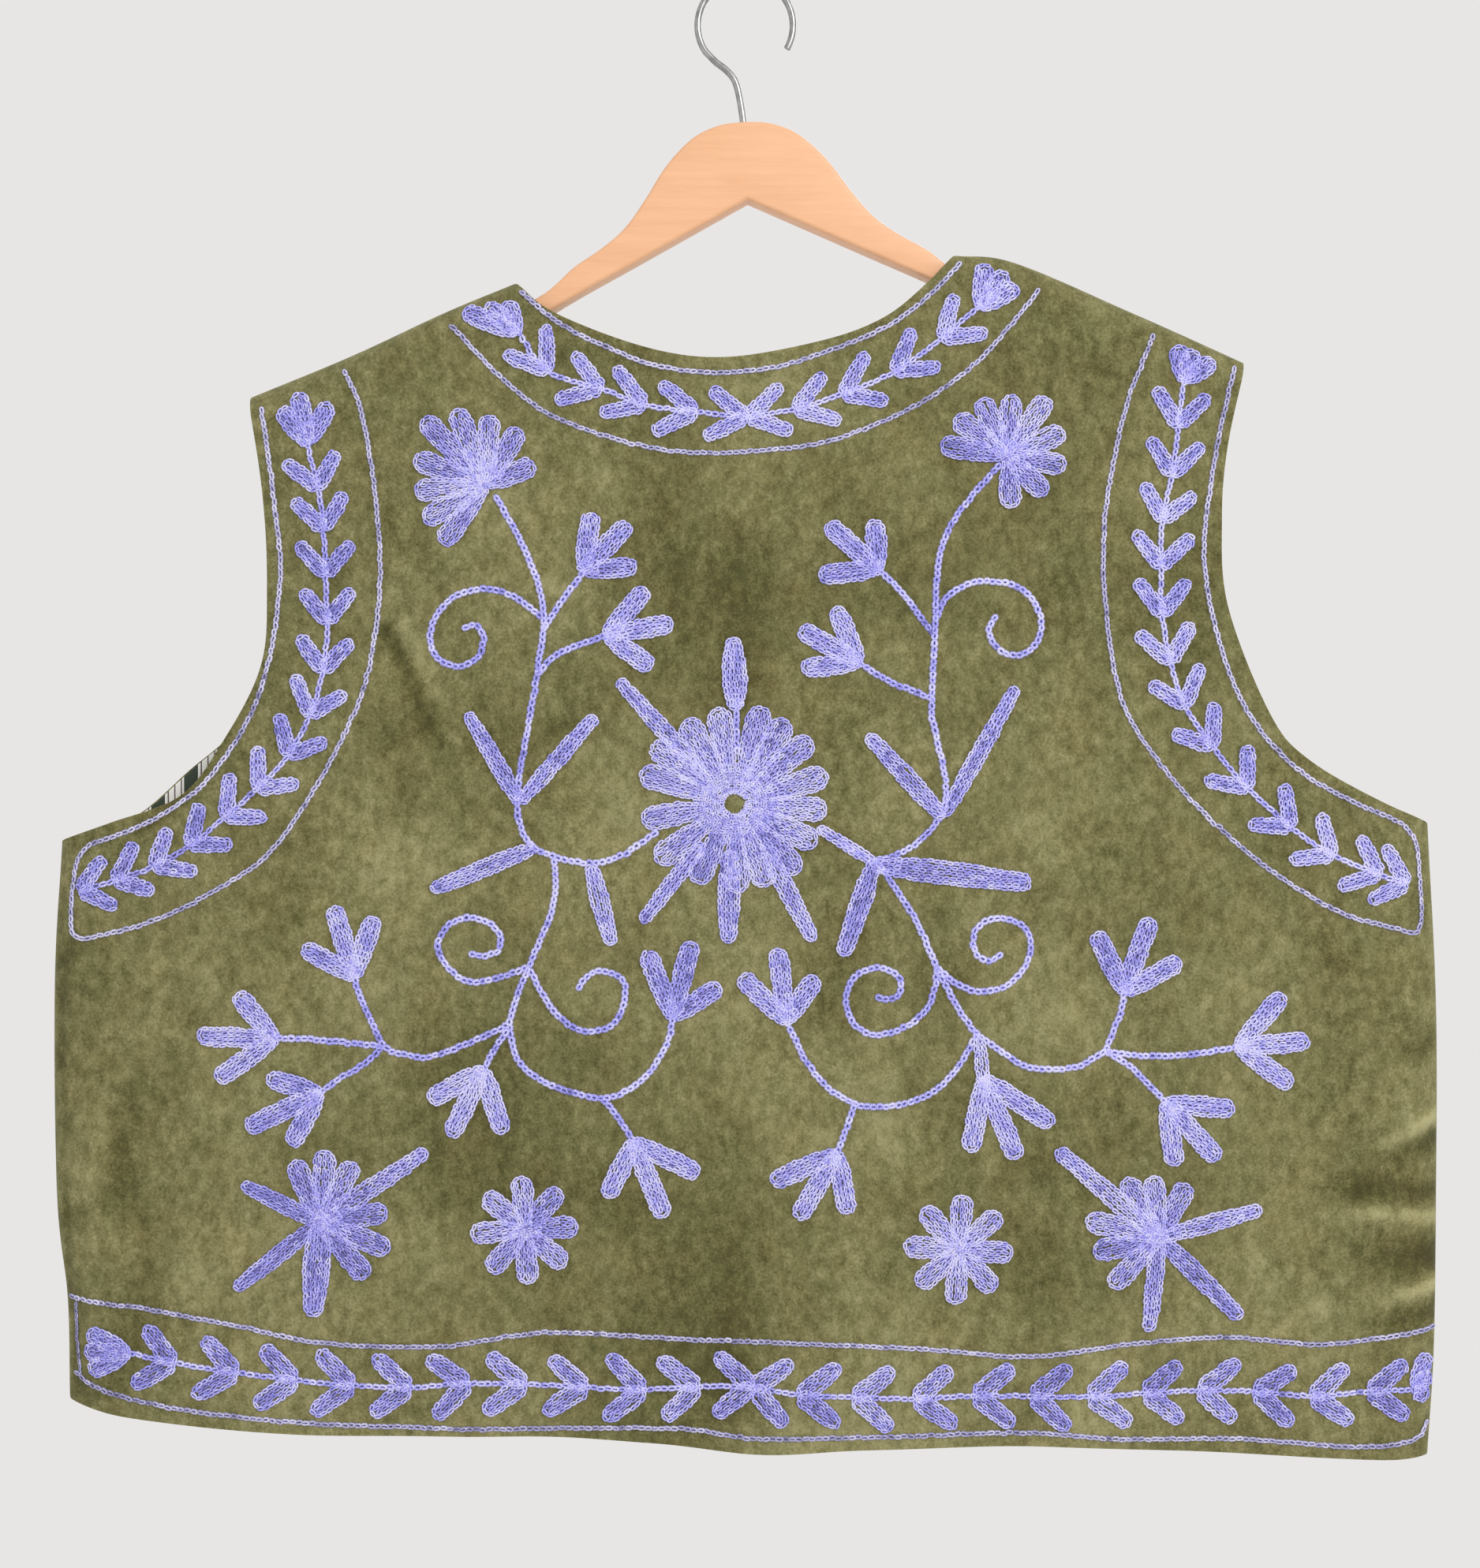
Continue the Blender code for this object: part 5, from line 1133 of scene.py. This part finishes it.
VINE_RIGHT = {
    "stems": [
        [(32.4, 58.8), (29.0, 62.5), (26.7, 65.5), (25.0, 69.0), (24.3, 73.0), (24.1, 78.0), (23.9, 83.0),
         (23.6, 90.0), (24.3, 94.0), (25.2, 98.0), (25.4, 101.0), (24.7, 103.5), (22.5, 106.2),
         (19.5, 108.2), (16.7, 109.3)],
        [(23.9, 80.5), (22.0, 78.0), (20.0, 75.3), (16.9, 72.2)],
        [(23.7, 88.6), (20.5, 87.3), (17.5, 86.0), (14.4, 84.0)],
        [(24.2, 78.3), (25.3, 76.0), (27.2, 74.5), (30.0, 73.7), (33.5, 74.0), (36.2, 75.8), (37.5, 78.6),
         (37.0, 81.3), (35.3, 82.9), (33.2, 83.0), (31.5, 81.7), (30.9, 79.7), (31.8, 78.1)],
        [(12.2, 106.9), (13.6, 107.8), (16.5, 109.4)],
        [(17.0, 109.6), (19.6, 113.6), (21.5, 116.5), (23.0, 119.8), (24.3, 122.8), (26.0, 126.2),
         (27.6, 128.9), (29.4, 131.1), (32.0, 133.0), (35.0, 135.0), (38.5, 135.6), (42.0, 135.2),
         (45.6, 133.3)],
        [(24.2, 122.6), (23.7, 126.4), (22.0, 129.0), (19.5, 130.5), (16.5, 131.2), (14.0, 130.0),
         (12.8, 127.5), (13.3, 124.6), (15.0, 123.1), (17.7, 122.8), (19.6, 124.2), (19.5, 126.0),
         (17.9, 126.8), (16.7, 126.3)],
        [(24.2, 122.6), (27.0, 124.9), (30.0, 125.7), (33.0, 125.0), (35.3, 122.8), (36.2, 120.2),
         (35.6, 118.0), (34.0, 116.8), (31.7, 116.4), (29.6, 117.4), (28.8, 119.3), (29.4, 121.2),
         (31.0, 121.8), (32.5, 120.9)],
        [(45.6, 133.3), (46.8, 130.3), (47.7, 128.0), (48.0, 125.8)],
        [(45.6, 133.3), (50.0, 133.9), (54.0, 133.9), (58.0, 133.5), (62.4, 132.7)],
        [(45.6, 133.3), (48.5, 135.0), (50.8, 137.2), (53.3, 139.8)],
        [(29.4, 131.1), (27.4, 134.6), (25.0, 137.5), (22.0, 139.3), (18.0, 140.3), (14.0, 140.0),
         (10.6, 138.0), (8.0, 135.0), (6.3, 131.8), (5.2, 129.5)],
        [(13.8, 140.0), (13.0, 142.5), (11.6, 146.2)],
    ],
    "leaves": [
        ((25.1, 103.6), (15.3, 93.0), 2.7), ((25.3, 103.2), (34.4, 87.0), 2.5),
        ((16.2, 109.6), (36.4, 112.0), 3.4), ((16.4, 109.2), (12.2, 121.4), 3.0),
        ((29.6, 131.3), (30.3, 139.0), 2.1), ((16.6, 109.5), (9.0, 104.8), 1.9),
    ],
    "buds": [
        ((16.9, 72.2), [(10.2, 66.3), (16.3, 65.7), (9.1, 73.0)]),
        ((14.4, 84.0), [(11.3, 76.8), (6.7, 79.6), (6.9, 84.8)]),
        ((48.0, 125.8), [(44.4, 118.0), (51.4, 116.2), (55.4, 121.7)]),
        ((62.4, 132.7), [(68.3, 125.9), (71.6, 132.0), (69.4, 137.8)]),
        ((53.3, 139.8), [(62.1, 140.7), (60.1, 147.2), (54.5, 148.0)]),
        ((5.2, 129.5), [(-0.8, 123.6), (4.0, 120.0), (9.1, 123.7)]),
        ((11.6, 146.2), [(3.1, 150.0), (6.5, 154.6), (13.0, 154.1)]),
        ((30.2, 136.8), [(28.4, 146.2), (34.5, 147.1), (39.1, 142.7)]),
    ],
    "flowers": [
        ((33.2, 57.9),
         [(24, 8.1), (56, 9.2), (86, 8.0), (115, 8.3), (143, 8.5), (170, 8.8), (-8, 7.7), (-44, 7.0),
          (-86, 6.7)]),
    ],
}
CENTRE_HUB = (-1.4, 101.9)
CENTRE_FLOWER = {
    "stems": [[(-1.1, 95.5), (-1.2, 88.6)]],
    "leaves": [((-1.2, 89.9), (-1.6, 80.6), 3.5), ((-5.5, 98.0), (-16.2, 86.1), 2.5),
               ((-5.5, 107.0), (-13.3, 117.1), 2.4), ((-2.0, 108.0), (-2.2, 119.8), 3.2),
               ((2.5, 107.5), (8.7, 119.4), 2.7)],
    "buds": [],
    "flowers": [
        (
            CENTRE_HUB,
            [(100, 12.5), (74, 13.0), (58, 12.7), (40, 12.9), (17, 12.5), (-4, 11.9), (-26, 11.7),
             (-47, 12.1), (-68, 11.5), (-88, 11.5), (-116, 11.4), (-144, 12.5), (-170, 12.1),
             (162, 12.7), (144, 13.0), (120, 12.5)],
        ),
    ],
}
PETAL_WIDTH = 3.1
CENTRE_PETAL_WIDTH = 3.5
# Half-widths of a petal, of a petal of the great flower and of a pointed leaf, like those of a bud.
PETAL_SWELL = ((0.0, 0.46), (0.3, 0.78), (0.7, 0.97), (1.0, 1.0))
CENTRE_SWELL = ((0.0, 0.22), (0.3, 0.56), (0.6, 0.90), (1.0, 1.0))
POINTED_LEAF_SWELL = ((0.0, 0.66), (0.3, 1.0), (0.6, 0.97), (1.0, 0.70))
STEM_STITCH = (2.9, 4.1)
STEM_TONE = 0.5
PETAL_STITCH = (2.9, 2.6)
PETAL_TONES = (0.42, 0.58)
BUD_TONES = (0.42, 0.56)
HUB_REACH = 0.2
# The great flower has rings of chain round its open eye, and two more that lie under its petals.
CENTRE_EYE = 1.5
RING_STEP = 15
EYE_RINGS = (1.95, 2.6, 3.25, 3.9)
EYE_RING_ROW = (2.7, 2.5, LEAF_LIFT + 0.35, 0.5)
HIDDEN_RINGS = (4.35, 5.0)
HIDDEN_RING_ROW = (2.7, 2.6, LEAF_LIFT - 0.2, 0.45)
# Any other flower has a knot of chain on its hub.
HUB_KNOT = 0.3
KNOT_STEP = 60
KNOT_ROW = (1.7, 2.3, LEAF_LIFT + 0.5, 0.42)
SMALL_PETALS = 8


def flower_at(hub, petals, leaves=()):
    """A flower with no stem, whose leaves grow from its hub."""
    return {"stems": [], "leaves": [(hub, tip, width) for tip, width in leaves], "buds": [],
            "flowers": [(hub, petals)]}


def small_flower(hub, first_angle, reach):
    """A round flower of equal petals, with no leaves."""
    return flower_at(hub, [(first_angle + 360.0 * number / SMALL_PETALS, reach)
                           for number in range(SMALL_PETALS)])


def ring_row(hub, reach, step, row):
    """One ring of chain round a hub, as a row with this stitch, lift and tone."""
    return (chart([tip_at(hub, angle, reach) for angle in range(0, 361, step)]), *row)


def motif_rows(motif):
    """Every row of a free motif."""
    rows = []
    for stem in motif["stems"]:
        rows.append((chart(spline_through(stem, VINE_STEPS)), *STEM_STITCH, LINE_LIFT, STEM_TONE))
    for base, tip, width in motif["leaves"]:
        rows += leaf_rows(base, tip, width, POINTED_LEAF_SWELL, tone=wool_dice.uniform(*LEAF_TONES))
    for base, tips in motif["buds"]:
        tone = wool_dice.uniform(*BUD_TONES)
        for tip in tips:
            rows += leaf_rows(base, tip, BUD_WIDTH, BUD_SWELL, tone=tone)
    for hub, petals in motif["flowers"]:
        central = hub == CENTRE_HUB
        base_reach = CENTRE_EYE if central else HUB_REACH
        width, swell = (CENTRE_PETAL_WIDTH, CENTRE_SWELL) if central else (PETAL_WIDTH, PETAL_SWELL)
        for angle, length in petals:
            base, tip = tip_at(hub, angle, base_reach), tip_at(hub, angle, length)
            rows += leaf_rows(base, tip, width, swell, PETAL_STITCH, tone=wool_dice.uniform(*PETAL_TONES))
        if central:
            rows += [ring_row(hub, reach, RING_STEP, EYE_RING_ROW) for reach in EYE_RINGS]
            rows += [ring_row(hub, reach, RING_STEP, HIDDEN_RING_ROW) for reach in HIDDEN_RINGS]
        else:
            rows.append(ring_row(hub, HUB_KNOT, KNOT_STEP, KNOT_ROW))
    return rows


CORNER_FLOWER_LEFT = flower_at(
    (-54.0, 155.0), [(112, 8.7), (85, 9.4), (60, 9.0), (9, 8.9), (-21, 9.7), (-49, 9.4)],
    [((-40.2, 145.8), 2.7), ((-54.8, 167.1), 3.8), ((-64.8, 163.5), 2.5), ((-63.9, 150.0), 2.5)])
CORNER_FLOWER_RIGHT = flower_at(
    (52.5, 157.0), [(120, 8.9), (96, 8.1), (63, 7.9), (166, 9.8), (192, 8.8), (225, 8.9)],
    [((39.3, 145.6), 2.8), ((65.6, 153.3), 2.6), ((51.1, 169.0), 2.6), ((62.9, 167.2), 2.8)])
FREE_MOTIFS = {
    "vine_left": VINE_LEFT,
    "vine_right": VINE_RIGHT,
    "centre_flower": CENTRE_FLOWER,
    "corner_flower_left": CORNER_FLOWER_LEFT,
    "corner_flower_right": CORNER_FLOWER_RIGHT,
    "small_flower_left": small_flower((-28.0, 156.0), 94, 7.0),
    "small_flower_right": small_flower((27.0, 158.4), 86, 7.1),
}
for node, motif in FREE_MOTIFS.items():
    chain_piece(node + "_chain", motif_rows(motif), lilac_wool, node, MOTIF_TONE_SHIFTS[node])
